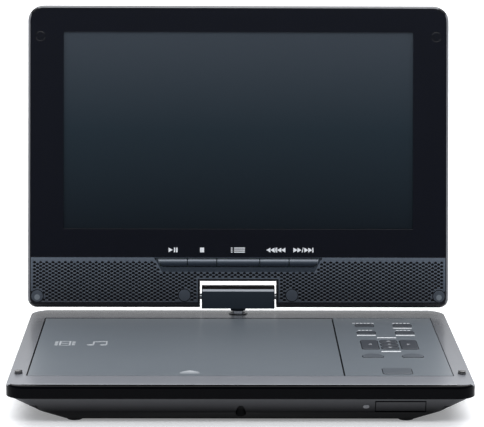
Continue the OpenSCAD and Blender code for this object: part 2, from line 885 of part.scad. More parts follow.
module control_fascia() {
    color(grey) on_base() difference() {
        union() {
            translate([fascia_left, front_margin, plate_low])
                cube([panel_right - fascia_left, door_d, plate_t]);
            for (x = [fascia_left + 8, panel_right - 4])
                for (y = [front_margin + 14, panel_back - 8])
                    translate([x, y, key_board_low + key_board_t])
                        cylinder(r = 2, h = plate_low - key_board_low - key_board_t + sheet);
        }
        for (i = [0 : len(key_marks) - 1])
            translate([0, 0, plate_low - 1]) linear_extrude(plate_t + 2) base_key2d(i, key_gap);
        translate([0, door_axis_y, door_axis_z])
            rod_along_x(door_pin_r + run_gap, fascia_left - 1, fascia_left + door_pin_l + pin_end);
    }
}

// One base key: its top stands out of the panel, its flange lies under it
module base_key(i) {
    color(charcoal) on_base() {
        translate([0, 0, key_stem_low]) linear_extrude(base_top + key_proud - key_stem_low) base_key2d(i, 0);
        translate([0, 0, key_stem_low]) linear_extrude(0.7) base_key2d(i, key_flange);
    }
}

module key_board() {
    color(board_green) on_base() {
        translate([fascia_left + 4, front_margin + 5, key_board_low])
            cube([panel_right - fascia_left - 4, door_d - 9, key_board_t]);
        for (mark = key_marks) translate([mark[0], mark[1], key_board_low + key_board_t - sheet])
            cylinder(r = 2, h = dome_h);
    }
}

module rubber_feet() {
    color("#0c0c0d") on_base() at_feet() cylinder(r = foot_r, h = foot_h);
}

module lid_bumpers() {
    color("#0c0c0d") on_base() for (side = [-1, 1])
        translate([side * (base_w / 2 - bumper_in[0]), bumper_in[1], base_top]) intersection() {
            translate([0, 0, -1]) cylinder(r = bumper_r, h = bumper_h + 1);
            translate([0, 0, bumper_h - bumper_dome]) sphere(r = bumper_dome);
        }
}

module base_screws() {
    color(steel) on_base() at_base_screws() {
        translate([0, 0, well_top - 1.4]) cylinder(r = screw_head_r, h = 1.4);
        translate([0, 0, well_top - sheet]) cylinder(r = screw_r, h = plate_low - well_top - 1.6);
    }
}

// Door, deck and drive

// Flat door on pins at its back, with a hook tooth and a ring that keeps a disc down
module disc_door() {
    color(grey) on_base() {
        translate([panel_left, front_margin, door_low])
            cube([door_w, door_axis_y - front_margin, door_t]);
        translate([0, door_axis_y, door_axis_z]) {
            rod_along_x(door_t / 2, panel_left, door_right);
            rod_along_x(door_pin_r, panel_left - door_pin_l, door_right + door_pin_l);
        }
        translate([disc_x - tooth_w / 2, tooth_y, door_low - tooth_h])
            cube([tooth_w, tooth_t, tooth_h + sheet]);
        translate([disc_x, disc_y, door_low - clamp_h]) difference() {
            cylinder(r = clamp_r, h = clamp_h + sheet);
            translate([0, 0, -1]) cylinder(r = clamp_r - clamp_w, h = clamp_h + 1);
        }
    }
}

// Sprung slide that holds the door's tooth
module door_latch() {
    color(charcoal) on_base() {
        translate([disc_x - latch_w / 2, latch_back - latch_d, latch_low])
            cube([latch_w, latch_d, plate_low - clear - latch_low]);
        translate([disc_x - tooth_w / 2, latch_back - sheet, latch_low])
            cube([tooth_w, tooth_y - clear - latch_back, 1.2]);
    }
}

module disc_deck() {
    deck_left = panel_left - deck_side;
    deck_right = fascia_left + deck_side - 0.2;
    color(charcoal) on_base() difference() {
        union() {
            translate([deck_left, front_margin - deck_front, deck_top - deck_t])
                cube([deck_right - deck_left, door_d + deck_front + deck_back, deck_t]);
            translate([disc_x, disc_y, deck_low]) cylinder(r = well_r + well_wall, h = deck_top - deck_low);
        }
        translate([disc_x, disc_y, deck_floor]) cylinder(r = well_r, h = base_top);
        translate([disc_x, disc_y, deck_low - 1]) cylinder(r = table_r + 2.5, h = 4);
        translate([disc_x - window_half, disc_y - window_reach, deck_low - 1])
            cube([2 * window_half, window_reach - 10, 3]);
        for (side = [-1, 1]) translate([disc_x + side * (well_r - finger_in), disc_y, deck_low + 1])
            cylinder(r = finger_r, h = base_top);
        translate([disc_x - latch_w / 2 - 3, front_margin - 5, latch_low - 0.4])
            cube([latch_w + 6, 10.6, base_top]);
    }
}

// Block on the chassis that holds one end of a rod
module rod_block() {
    translate([-rod_post / 2, -rod_post_d / 2, chassis_top - sheet])
        cube([rod_post, rod_post_d, sled_high - chassis_top]);
}

module drive_chassis() {
    color(steel) on_base() translate([disc_x, disc_y, 0]) difference() {
        union() {
            translate([-chassis_half, damper_y[0] - chassis_edge, chassis_z])
                cube([2 * chassis_half, damper_y[1] - damper_y[0] + 2 * chassis_edge, chassis_t]);
            for (side = [-1, 1])
                for (y = [-rod_far, -rod_near]) translate([side * rod_x, y, 0]) rod_block();
            translate([feed_x, -rod_far, 0]) rod_block();
        }
        for (side = [-1, 1]) translate([side * rod_x, 0, rod_z])
            rod_along_y(rod_r + sheet, -rod_far - 1, -rod_near + 1);
        translate([feed_x, 0, rod_z]) rod_along_y(feed_r + run_gap, -rod_far - 3, 0);
        translate([-12, -rod_far + 8, chassis_z - 1]) cube([24, rod_far - rod_near - 12, 4]);
        translate([feed_x - 3, -13, chassis_z - 1]) cube([6, 17, 4]);
        for (side = [-1, 1])
            for (y = damper_y)
                translate([side * damper_x, y, chassis_z - 1]) cylinder(r = damper_neck_r + 0.1, h = 4);
    }
}

module chassis_dampers() {
    color("#0c0c0d") on_base() for (side = [-1, 1]) for (y = damper_y)
        translate([disc_x + side * damper_x, disc_y + y, 0]) {
            translate([0, 0, floor_z]) cylinder(r = damper_r, h = chassis_z - floor_z);
            translate([0, 0, chassis_z - sheet]) cylinder(r = damper_neck_r, h = chassis_t);
        }
}

module spindle_motor() {
    color(steel) on_base() translate([disc_x, disc_y, chassis_top]) difference() {
        cylinder(r = spindle_r, h = spindle_h);
        translate([0, 0, 1]) cylinder(r = shaft_r + run_gap, h = 5);
    }
}

module turntable() {
    color("#1a1b1e") on_base() translate([disc_x, disc_y, 0]) {
        translate([0, 0, chassis_top + 1.3]) cylinder(r = shaft_r, h = table_low - chassis_top);
        translate([0, 0, table_low]) cylinder(r = table_r, h = table_high - table_low);
        translate([0, 0, table_high - sheet]) cylinder(r = hub_r, h = 1.4);
        translate([0, 0, table_high + 1.3])
            cylinder(r1 = hub_r, r2 = hub_r - 1.6, h = hub_high - table_high - 1.3);
    }
}

module guide_rods() {
    color(steel) on_base() for (side = [-1, 1]) translate([disc_x + side * rod_x, disc_y, rod_z])
        rod_along_y(rod_r, -rod_far - 0.9, -rod_near + 0.9);
}

module feed_motor() {
    color(steel) on_base() translate([disc_x + feed_x, disc_y, rod_z]) difference() {
        rod_along_y(feed_motor_r, feed_motor_ends[0], feed_motor_ends[1]);
        rod_along_y(feed_r + run_gap, feed_motor_ends[0] - 0.5, feed_motor_ends[0] + 4.5);
    }
}

module feed_screw() {
    color(steel) on_base() translate([disc_x + feed_x, disc_y, rod_z])
        rod_along_y(feed_r, -rod_far - 1.5, feed_motor_ends[0] + 3.5);
}

module laser_sled() {
    color("#3a3c40") on_base() translate([disc_x, disc_y - sled_start, 0]) difference() {
        union() {
            translate([-sled_w / 2, -sled_half, sled_low])
                cube([sled_w, 2 * sled_half, sled_high - sled_low]);
            translate([-7, -6, sled_high - sheet]) cube([14, 11, 1.5]);
        }
        for (side = [-1, 1]) translate([side * rod_x, 0, rod_z])
            rod_along_y(rod_r + run_gap, -sled_half - 1, sled_half + 1);
        translate([0, 0, sled_high]) cylinder(r = lens_r + sheet, h = 3);
    }
}

module pickup_lens() {
    color("#5a6fa8") on_base() translate([disc_x, disc_y - sled_start, sled_high])
        cylinder(r = lens_r, h = 1.7);
}

// Boards, battery and sockets

module main_board() {
    board_right = socket_x - socket_t - clear;
    board_high = board_low + board_t - sheet;
    color(board_green) on_base() {
        translate([fascia_left + 1, board_edge, board_low])
            cube([board_right - fascia_left - 1, base_d - 2 * board_edge, board_t]);
        translate([board_right - 1, board_edge, board_low])
            cube([panel_right - board_right + 1, board_ear_d, board_t]);
        translate([fascia_left + chip_in, 60, board_high]) cube([18, 18, chip_h]);
        translate([fascia_left + chip_in, 96, board_high]) cube([14, 10, chip_h]);
    }
}

module battery_pack() {
    color("#26344a") on_base() translate([battery_left, battery_front, floor_z])
        cube([battery_w, battery_back - battery_front, battery_h]);
}

module volume_pot() {
    color(steel) on_base() translate([dial_x, dial_y, 0]) {
        translate([0, 0, dial_high + clear]) cylinder(r = 2.4, h = board_low - dial_high - clear);
        translate([0, 0, dial_low + 0.4]) cylinder(r = dial_shaft_r, h = board_low - dial_low - 0.5);
    }
}

// Thumb wheel with a knurled edge
module volume_dial() {
    notches = 36;
    color(black) on_base() translate([dial_x, dial_y, dial_low]) difference() {
        cylinder(r = dial_r, h = dial_high - dial_low);
        translate([0, 0, -1]) cylinder(r = dial_shaft_r + run_gap, h = 5);
        for (i = [0 : notches - 1]) rotate(i * 360 / notches) translate([dial_r + 0.25, 0, -1])
            cylinder(r = 0.5, h = 5);
    }
}

module socket_panel() {
    color(black) on_base() difference() {
        translate([socket_x - socket_t, socket_front - socket_end, socket_low])
            cube([socket_t, socket_back - socket_front + 2 * socket_end, band_low - socket_low]);
        for (y = concat(jack_spots, [dc_spot])) translate([0, y, socket_z])
            rod_along_x(jack_barrel_r + run_gap, socket_x - 4, socket_x + 1);
        translate([socket_x - 4, switch_spot - 4.5, socket_z - 1.2]) cube([6, 9, 2.4]);
    }
}

// Body of one socket: a block behind the panel and a barrel through it
module socket_body(w) {
    translate([socket_x - jack_l, -w / 2, socket_low + clear - socket_z])
        cube([jack_l - socket_t, w, board_low - socket_low - clear]);
    rod_along_x(jack_barrel_r, socket_x - socket_t - sheet, socket_x + jack_lip);
}

// Headphone and picture jacks, and the power inlet with its centre pin
module jack_sockets() {
    color(charcoal) on_base() {
        for (y = jack_spots) translate([0, y, socket_z]) difference() {
            socket_body(jack_w);
            rod_along_x(jack_bore_r, socket_x + jack_lip - 13, socket_x + 1);
        }
        translate([0, dc_spot, socket_z]) {
            difference() {
                socket_body(dc_w);
                rod_along_x(dc_bore_r, socket_x - 10, socket_x + 1);
            }
            rod_along_x(dc_pin_r, socket_x - 11, socket_x);
        }
    }
}

module power_switch() {
    color(black) on_base() translate([0, switch_spot - switch_travel / 2, socket_z]) {
        translate([socket_x + clear, -2.4, -1.6]) cube([1.6, 4.8, 3.2]);
        translate([socket_x - 3.6, -1.2, -0.9]) cube([4.2, 2.4, 1.8]);
        translate([socket_x - 3.6, -3, -1.6]) cube([1.3, 6, 3.2]);
    }
}

module card_reader() {
    low = card_z - card_slot;
    color(steel) on_base() difference() {
        translate([flap_x - flap_w / 2 - 1.5, port_block_d, low]) cube([flap_w + 3, 26, board_low - low]);
        translate([flap_x - card_w / 2, port_block_d - 1, card_z - card_slot / 2])
            cube([card_w, 25, card_slot]);
    }
}

// Clear window of the charge lamp, with its light pipe
module charge_lens() {
    color("#d8dce0") on_base() on_slope(charge_x) slab(-0.2, 4.4) charge2d(0);
}

module port_flap() {
    low = -flap_drop - flap_h;
    color(charcoal) on_base() on_slope(flap_x) {
        translate([-flap_w / 2, 0, low + flap_t / 2]) cube([flap_w, flap_t, flap_h - flap_t / 2]);
        translate([0, flap_t / 2, low + flap_t / 2]) {
            rod_along_x(flap_t / 2, -flap_w / 2, flap_w / 2);
            rod_along_x(flap_pin_r, -flap_w / 2 - 1.6, flap_w / 2 + 1.6);
        }
    }
}

on_lid() lid_front_frame();
on_lid() lid_rear_cover();
on_lid() screen_window();
on_lid() lcd_panel();
on_lid() speakers();
on_lid() display_board();
on_lid() lid_key_board();
on_lid() lid_screw_plugs();
on_lid() lid_screws();
on_lid() hinge_arm(-1);  // left_hinge_arm
on_lid() hinge_arm(1);  // right_hinge_arm
for (i = [0 : 4]) on_lid() lid_key(i);
hinge_block();
swivel_post();
swivel_bracket();
base_bottom_shell();
base_top_cover();
control_fascia();
disc_deck();
drive_chassis();
spindle_motor();
feed_motor();
guide_rods();
chassis_dampers();
main_board();
battery_pack();
key_board();
rubber_feet();
lid_bumpers();
base_screws();
socket_panel();
jack_sockets();
card_reader();
charge_lens();
volume_pot();
disc_door();
door_latch();
port_flap();
volume_dial();
power_switch();
turntable();
laser_sled();
pickup_lens();
feed_screw();
for (i = [0 : 11]) base_key(i);
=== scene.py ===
import json
import math

import bmesh
import bpy
from mathutils import Matrix, Vector


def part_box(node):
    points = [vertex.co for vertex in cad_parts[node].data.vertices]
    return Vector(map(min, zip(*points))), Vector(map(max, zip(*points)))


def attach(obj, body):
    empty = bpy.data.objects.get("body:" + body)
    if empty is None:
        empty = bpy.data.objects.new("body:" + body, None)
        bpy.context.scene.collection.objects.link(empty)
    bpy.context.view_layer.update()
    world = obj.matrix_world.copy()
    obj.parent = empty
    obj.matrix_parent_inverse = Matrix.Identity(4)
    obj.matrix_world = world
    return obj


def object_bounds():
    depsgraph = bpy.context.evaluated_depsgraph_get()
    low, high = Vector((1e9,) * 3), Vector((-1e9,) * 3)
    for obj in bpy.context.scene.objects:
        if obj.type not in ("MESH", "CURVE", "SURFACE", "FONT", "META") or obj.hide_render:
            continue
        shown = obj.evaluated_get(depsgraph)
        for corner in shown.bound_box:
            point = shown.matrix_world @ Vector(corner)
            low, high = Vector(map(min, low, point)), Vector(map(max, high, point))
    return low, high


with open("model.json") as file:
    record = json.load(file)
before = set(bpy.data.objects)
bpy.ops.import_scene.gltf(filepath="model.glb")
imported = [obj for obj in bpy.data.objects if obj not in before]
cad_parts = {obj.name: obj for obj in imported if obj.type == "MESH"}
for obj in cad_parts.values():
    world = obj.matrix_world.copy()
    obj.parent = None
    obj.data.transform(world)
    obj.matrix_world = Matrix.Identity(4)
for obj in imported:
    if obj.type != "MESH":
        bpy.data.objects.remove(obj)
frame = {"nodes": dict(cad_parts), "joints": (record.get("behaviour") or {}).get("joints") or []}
cadLow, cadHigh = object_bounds()
print("frame loaded:", len(frame["nodes"]), "nodes")

mm = 0.001
scene = bpy.context.scene
scene.view_settings.view_transform = "Standard"

# the lid's own frame: x across, z up along the lid, origin on the tilt axis
tilt = next(j for j in frame["joints"] if j["name"] == "tilt")
recline = -tilt["range_deg"][0] - 90
lidFrame = (Matrix.Translation(tilt["pos_m"])
            @ Matrix.Rotation(math.radians(-recline), 4, "X")
            @ Matrix.Scale(mm, 4))
toLid = lidFrame.inverted()
# the hinge block's frame: the same origin, upright
pivotFrame = Matrix.Translation(tilt["pos_m"]) @ Matrix.Scale(mm, 4)
# the base's own frame: y counts from its front edge
baseFrame = Matrix.Translation((0, cadLow.y, 0)) @ Matrix.Scale(mm, 4)

lid = dict(faceY=-8.2, windowY=-8.1)
base = dict(topZ=21.0, discX=-28.0, discY=86.7)


def lidFace(y):
    # drawing plane on the lid: u across, v up, w out towards the viewer
    return lidFrame @ Matrix(((1, 0, 0, 0), (0, 0, -1, y), (0, 1, 0, 0), (0, 0, 0, 1)))


def baseTop(z):
    return baseFrame @ Matrix.Translation((0, 0, z))


def addPiece(name, bm, place, body, look, smooth=False):
    bm.transform(place)
    mesh = bpy.data.meshes.new(name)
    bm.to_mesh(mesh)
    bm.free()
    mesh.materials.append(look)
    if smooth:
        mesh.shade_smooth()
    piece = bpy.data.objects.new(name, mesh)
    scene.collection.objects.link(piece)
    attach(piece, body)
    return piece


def extrudeOutline(bm, points, thick, foot=0.0):
    # one flat outline pulled up into a thin solid
    ring = [bm.verts.new((p[0], p[1], foot)) for p in points]
    face = bm.faces.new(ring)
    face.normal_update()
    if face.normal.z < 0:
        face.normal_flip()
    moved = bmesh.ops.extrude_face_region(bm, geom=[face])["geom"]
    top = [v for v in moved if isinstance(v, bmesh.types.BMVert)]
    bmesh.ops.translate(bm, verts=top, vec=(0, 0, thick))
    bmesh.ops.recalc_face_normals(bm, faces=bm.faces)


def rect(x0, y0, x1, y1):
    return [(x0, y0), (x1, y0), (x1, y1), (x0, y1)]


def triangle(x, z, w, h):
    # points right where w is positive, left where it is negative
    return [(x, z), (x + w, z + h / 2), (x, z + h)]


weldWithin = 0.001  # millimetres


def flatRing(inner, outer, high, segments):
    # a square section turned once round the z axis
    bm = bmesh.new()
    corners = [bm.verts.new(c) for c in ((inner, 0, 0), (outer, 0, 0), (outer, 0, high), (inner, 0, high))]
    edges = [bm.edges.new((corners[i], corners[(i + 1) % 4])) for i in range(4)]
    bmesh.ops.spin(bm, geom=corners + edges, cent=(0, 0, 0), axis=(0, 0, 1), angle=2 * math.pi,
                   steps=segments, use_merge=True)
    bmesh.ops.remove_doubles(bm, verts=bm.verts, dist=weldWithin)
    bmesh.ops.recalc_face_normals(bm, faces=bm.faces)
    return bm


def joinTo(target, bm, place):
    # moves one mesh into place and adds it to another
    bm.transform(place)
    spare = bpy.data.meshes.new("spare")
    bm.to_mesh(spare)
    bm.free()
    target.from_mesh(spare)
    bpy.data.meshes.remove(spare)


# finishes: what several of them share
noiseSpan = (0.1, 0.9)  # where most of a noise lies
drift = dict(scale=60, detail=3)  # slow, over a moulded part
streaks = dict(scale=900, detail=3, bump=0.1, deep=0.02)  # along brushed metal
coatRough = 0.08


def newFinish(name):
    mat = bpy.data.materials.new(name)
    mat.use_nodes = True
    nodes = mat.node_tree.nodes
    links = mat.node_tree.links
    shader = nodes["Principled BSDF"]
    coords = nodes.new("ShaderNodeTexCoord")
    return mat, nodes, links, shader, coords.outputs["Object"]


def addNoise(nodes, links, coords, scale, detail=2, stretch=None):
    noise = nodes.new("ShaderNodeTexNoise")
    noise.inputs["Scale"].default_value = scale
    noise.inputs["Detail"].default_value = detail
    if stretch:
        mapping = nodes.new("ShaderNodeMapping")
        mapping.inputs["Scale"].default_value = stretch
        links.new(coords, mapping.inputs["Vector"])
        links.new(mapping.outputs["Vector"], noise.inputs["Vector"])
    else:
        links.new(coords, noise.inputs["Vector"])
    return noise.outputs["Fac"]


def addRamp(nodes, links, fac, stops):
    # stops are (share of the way, colour), first to last
    ramp = nodes.new("ShaderNodeValToRGB")
    ends = ramp.color_ramp.elements
    for end, (share, colour) in zip((ends[0], ends[1]), (stops[0], stops[-1])):
        end.position = share
        end.color = (*colour, 1)
    for share, colour in stops[1:-1]:
        ends.new(share).color = (*colour, 1)
    links.new(fac, ramp.inputs["Fac"])
    return ramp.outputs["Color"]


def addRange(nodes, links, value, span, low, high):
    spread = nodes.new("ShaderNodeMapRange")
    spread.inputs["From Min"].default_value, spread.inputs["From Max"].default_value = span
    spread.inputs["To Min"].default_value = low
    spread.inputs["To Max"].default_value = high
    links.new(value, spread.inputs["Value"])
    return spread.outputs["Result"]


def addBump(nodes, links, height, shader, strength, distance):
    bump = nodes.new("ShaderNodeBump")
    bump.inputs["Strength"].default_value = strength
    bump.inputs["Distance"].default_value = distance * mm
    links.new(height, bump.inputs["Height"])
    links.new(bump.outputs["Normal"], shader.inputs["Normal"])


def noiseStops(low, high):
    return [(noiseSpan[0], low), (noiseSpan[1], high)]


def moulded(name, low, high, rough, grain=1400, bump=0.15, deep=0.02, level=0.5, metal=0.0, coat=0.0):
    # moulded or painted plastic: slow drift of colour and roughness, fine grain in the bump
    mat, nodes, links, shader, coords = newFinish(name)
    slow = addNoise(nodes, links, coords, **drift)
    links.new(addRamp(nodes, links, slow, noiseStops(low, high)), shader.inputs["Base Color"])
    links.new(addRange(nodes, links, slow, noiseSpan, *rough), shader.inputs["Roughness"])
    if bump:
        addBump(nodes, links, addNoise(nodes, links, coords, grain), shader, bump, deep)
    shader.inputs["Metallic"].default_value = metal
    shader.inputs["Specular IOR Level"].default_value = level
    if coat:
        shader.inputs["Coat Weight"].default_value = coat
        shader.inputs["Coat Roughness"].default_value = coatRough
    return mat


def brushed(name, low, high, rough, stretch):
    # turned or brushed metal, streaked along one axis
    mat, nodes, links, shader, coords = newFinish(name)
    streak = addNoise(nodes, links, coords, streaks["scale"], streaks["detail"], stretch)
    links.new(addRamp(nodes, links, streak, noiseStops(low, high)), shader.inputs["Base Color"])
    links.new(addRange(nodes, links, streak, noiseSpan, *rough), shader.inputs["Roughness"])
    addBump(nodes, links, streak, shader, streaks["bump"], streaks["deep"])
    shader.inputs["Metallic"].default_value = 1.0
    return mat


boardLook = dict(
    scale=260, track=0.06, fields=((0.012, 0.075, 0.035), (0.016, 0.09, 0.045)), tracks=(0.05, 0.2, 0.1),
    patch=90, rough=(0.3, 0.45), bump=0.2, deep=0.03,
)


def boardFinish(name, look):
    # green circuit board with pale tracks
    mat, nodes, links, shader, coords = newFinish(name)
    cells = nodes.new("ShaderNodeTexBrick")
    cells.inputs["Scale"].default_value = look["scale"]
    cells.inputs["Mortar Size"].default_value = look["track"]
    cells.inputs["Color1"].default_value = (*look["fields"][0], 1)
    cells.inputs["Color2"].default_value = (*look["fields"][1], 1)
    cells.inputs["Mortar"].default_value = (*look["tracks"], 1)
    links.new(coords, cells.inputs["Vector"])
    links.new(cells.outputs["Color"], shader.inputs["Base Color"])
    slow = addNoise(nodes, links, coords, look["patch"])
    links.new(addRange(nodes, links, slow, noiseSpan, *look["rough"]), shader.inputs["Roughness"])
    addBump(nodes, links, cells.outputs["Fac"], shader, look["bump"], look["deep"])
    return mat


def paintedShadeAlong(name, axis, span, low, high, rough, bump, level, grain=2000, deep=0.02):
    # painted shade that runs along one axis of the part, over a span in millimetres
    mat, nodes, links, shader, coords = newFinish(name)
    split = nodes.new("ShaderNodeSeparateXYZ")
    links.new(coords, split.inputs["Vector"])
    way = addRange(nodes, links, split.outputs[axis], (span[0] * mm, span[1] * mm), 0, 1)
    links.new(addRamp(nodes, links, way, [(0, low), (1, high)]), shader.inputs["Base Color"])
    slow = addNoise(nodes, links, coords, **drift)
    links.new(addRange(nodes, links, slow, noiseSpan, *rough), shader.inputs["Roughness"])
    if bump:
        addBump(nodes, links, addNoise(nodes, links, coords, grain), shader, bump, deep)
    shader.inputs["Specular IOR Level"].default_value = level
    return mat


def paintedLightUpLid(name, span, stops, rough, grain, level, bump=0.1, deep=0.01):
    # painted light and shade that runs up the lid, over a span in millimetres from the tilt axis
    mat, nodes, links, shader, coords = newFinish(name)
    turn = nodes.new("ShaderNodeMapping")
    turn.vector_type = "TEXTURE"
    turn.inputs["Location"].default_value = tilt["pos_m"]
    turn.inputs["Rotation"].default_value = (math.radians(-recline), 0, 0)
    turn.inputs["Scale"].default_value = (mm, mm, mm)
    links.new(coords, turn.inputs["Vector"])
    split = nodes.new("ShaderNodeSeparateXYZ")
    links.new(turn.outputs["Vector"], split.inputs["Vector"])
    rise = addRange(nodes, links, split.outputs["Z"], span, 0, 1)
    links.new(addRamp(nodes, links, rise, stops), shader.inputs["Base Color"])
    fine = addNoise(nodes, links, coords, grain)
    links.new(addRange(nodes, links, fine, noiseSpan, *rough), shader.inputs["Roughness"])
    addBump(nodes, links, fine, shader, bump, deep)
    shader.inputs["Specular IOR Level"].default_value = level
    return mat


plastics = dict(
    frameBlack=dict(low=(0.004, 0.0045, 0.006), high=(0.006, 0.0065, 0.0085), rough=(0.2, 0.26),
                    bump=0.06, level=0.35),
    lidBack=dict(low=(0.006, 0.006, 0.0075), high=(0.0085, 0.0085, 0.0105), rough=(0.3, 0.4),
                 grain=900, bump=0.05, level=0.3),
    window=dict(low=(0.0016, 0.0019, 0.0042), high=(0.0021, 0.0025, 0.0052), rough=(0.05, 0.08),
                grain=300, bump=0.02),
    # painted shadow in the speaker cells
    grilleFloor=dict(low=(0.002, 0.002, 0.003), high=(0.003, 0.003, 0.004), rough=(0.6, 0.7),
                     grain=1700, bump=0.12, level=0.1),
    speaker=dict(low=(0.008, 0.008, 0.008), high=(0.014, 0.014, 0.015), rough=(0.6, 0.8)),
    keyGloss=dict(low=(0.028, 0.036, 0.047), high=(0.034, 0.043, 0.055), rough=(0.12, 0.2),
                  grain=800, bump=0.04),
    # painted highlight on the lid's rolled rim
    rim=dict(low=(0.17, 0.172, 0.18), high=(0.19, 0.192, 0.2), rough=(0.14, 0.2), grain=800, bump=0.03),
    plug=dict(low=(0.0018, 0.0021, 0.004), high=(0.0024, 0.0028, 0.005), rough=(0.1, 0.16),
              grain=600, bump=0.03),
    band=dict(low=(0.001, 0.0011, 0.0016), high=(0.0015, 0.0016, 0.0022), rough=(0.1, 0.16),
              grain=900, bump=0.03, level=0.03),
    satin=dict(low=(0.133, 0.151, 0.171), high=(0.14, 0.158, 0.178), rough=(0.285, 0.33), bump=0),
    keyGrey=dict(low=(0.045, 0.05, 0.06), high=(0.054, 0.06, 0.071), rough=(0.3, 0.4), grain=2400, bump=0.08),
    keyMid=dict(low=(0.082, 0.093, 0.108), high=(0.094, 0.105, 0.121), rough=(0.29, 0.36),
                grain=2400, bump=0.08),
    deck=dict(low=(0.014, 0.014, 0.016), high=(0.02, 0.02, 0.023), rough=(0.4, 0.55),
              grain=1800, bump=0.25, deep=0.04),
    hinge=dict(low=(0.018, 0.025, 0.033), high=(0.022, 0.029, 0.038), rough=(0.3, 0.38),
               grain=1600, bump=0.05, level=0.1),
    trim=dict(low=(0.185, 0.2, 0.225), high=(0.225, 0.24, 0.265), rough=(0.29, 0.35),
              grain=1200, bump=0.04, metal=0.4),
    rubber=dict(low=(0.008, 0.008, 0.009), high=(0.013, 0.013, 0.014), rough=(0.7, 0.85),
                grain=1500, bump=0.4, deep=0.05, level=0.3),
    bumper=dict(low=(0.03, 0.03, 0.032), high=(0.042, 0.042, 0.045), rough=(0.18, 0.25),
                grain=1500, bump=0.1),
    lens=dict(low=(0.09, 0.092, 0.1), high=(0.12, 0.123, 0.132), rough=(0.14, 0.22), grain=600, bump=0.03),
    pickup=dict(low=(0.02, 0.03, 0.09), high=(0.03, 0.045, 0.13), rough=(0.03, 0.06),
                grain=300, bump=0.01, coat=1.0),
    battery=dict(low=(0.02, 0.035, 0.07), high=(0.03, 0.045, 0.085), rough=(0.3, 0.4), grain=700, bump=0.1),
    print=dict(low=(0.8, 0.81, 0.83), high=(0.88, 0.89, 0.9), rough=(0.5, 0.6), grain=3000, bump=0.1),
    keyPrint=dict(low=(0.3, 0.31, 0.33), high=(0.34, 0.35, 0.37), rough=(0.4, 0.5), grain=3000, bump=0.05),
    doorPrint=dict(low=(0.36, 0.38, 0.4), high=(0.42, 0.44, 0.46), rough=(0.4, 0.5), grain=3000, bump=0.1),
    # painted highlight on the cover's rolled front edge
    edge=dict(low=(0.36, 0.37, 0.39), high=(0.38, 0.39, 0.41), rough=(0.2, 0.25), bump=0),
)
metals = dict(
    steel=dict(low=(0.5, 0.51, 0.53), high=(0.62, 0.63, 0.65), rough=(0.29, 0.38), stretch=(1, 8, 1)),
    darkSteel=dict(low=(0.03, 0.03, 0.033), high=(0.045, 0.045, 0.05), rough=(0.3, 0.42), stretch=(1, 8, 1)),
    chrome=dict(low=(0.86, 0.86, 0.87), high=(0.92, 0.92, 0.93), rough=(0.12, 0.2), stretch=(1, 1, 12)),
)
# painted shade: the cover darkens from its front strip to its rear one, the shell towards the table
basePaintedShade = dict(
    cover=dict(axis="Y", span=(-96.4, 58.6), low=(0.198, 0.206, 0.226), high=(0.108, 0.111, 0.12),
               rough=(0.2, 0.255), bump=0, level=0.5),
    shell=dict(axis="Z", span=(6.2, 14.5), low=(0.0016, 0.0017, 0.0021), high=(0.066, 0.067, 0.071),
               rough=(0.36, 0.46), bump=0.2, level=0.04),
)
# painted light: the screen and the strip lighten upwards; the lid keys carry a painted highlight along their
# upper edge
lidPaintedLight = dict(
    screen=dict(
        span=(38, 151), rough=(0.42, 0.48), grain=5200, level=0.12,
        stops=[(0, (0.002, 0.0055, 0.0095)), (0.5, (0.01, 0.0185, 0.026)), (1, (0.033, 0.042, 0.053))],
    ),
    grille=dict(
        span=(-3, 22.4), rough=(0.29, 0.35), grain=1700, level=0.5,
        stops=[(0, (0.03, 0.037, 0.048)), (1, (0.088, 0.107, 0.134))],
    ),
    lidKey=dict(
        span=(17.3, 21.7), rough=(0.14, 0.2), grain=800, level=0.5,
        stops=[
            (0, (0.004, 0.007, 0.012)), (0.33, (0.011, 0.0165, 0.025)), (0.56, (0.045, 0.056, 0.072)),
            (0.67, (0.115, 0.132, 0.155)), (0.78, (0.33, 0.365, 0.41)), (0.89, (0.08, 0.094, 0.113)),
            (1, (0.045, 0.055, 0.07)),
        ],
    ),
)
finish = dict(board=boardFinish("board", boardLook))
for maker, looks in ((moulded, plastics), (brushed, metals), (paintedShadeAlong, basePaintedShade), (paintedLightUpLid, lidPaintedLight)):
    finish.update({name: maker(name, **look) for name, look in looks.items()})
print("finishes:", len(finish))

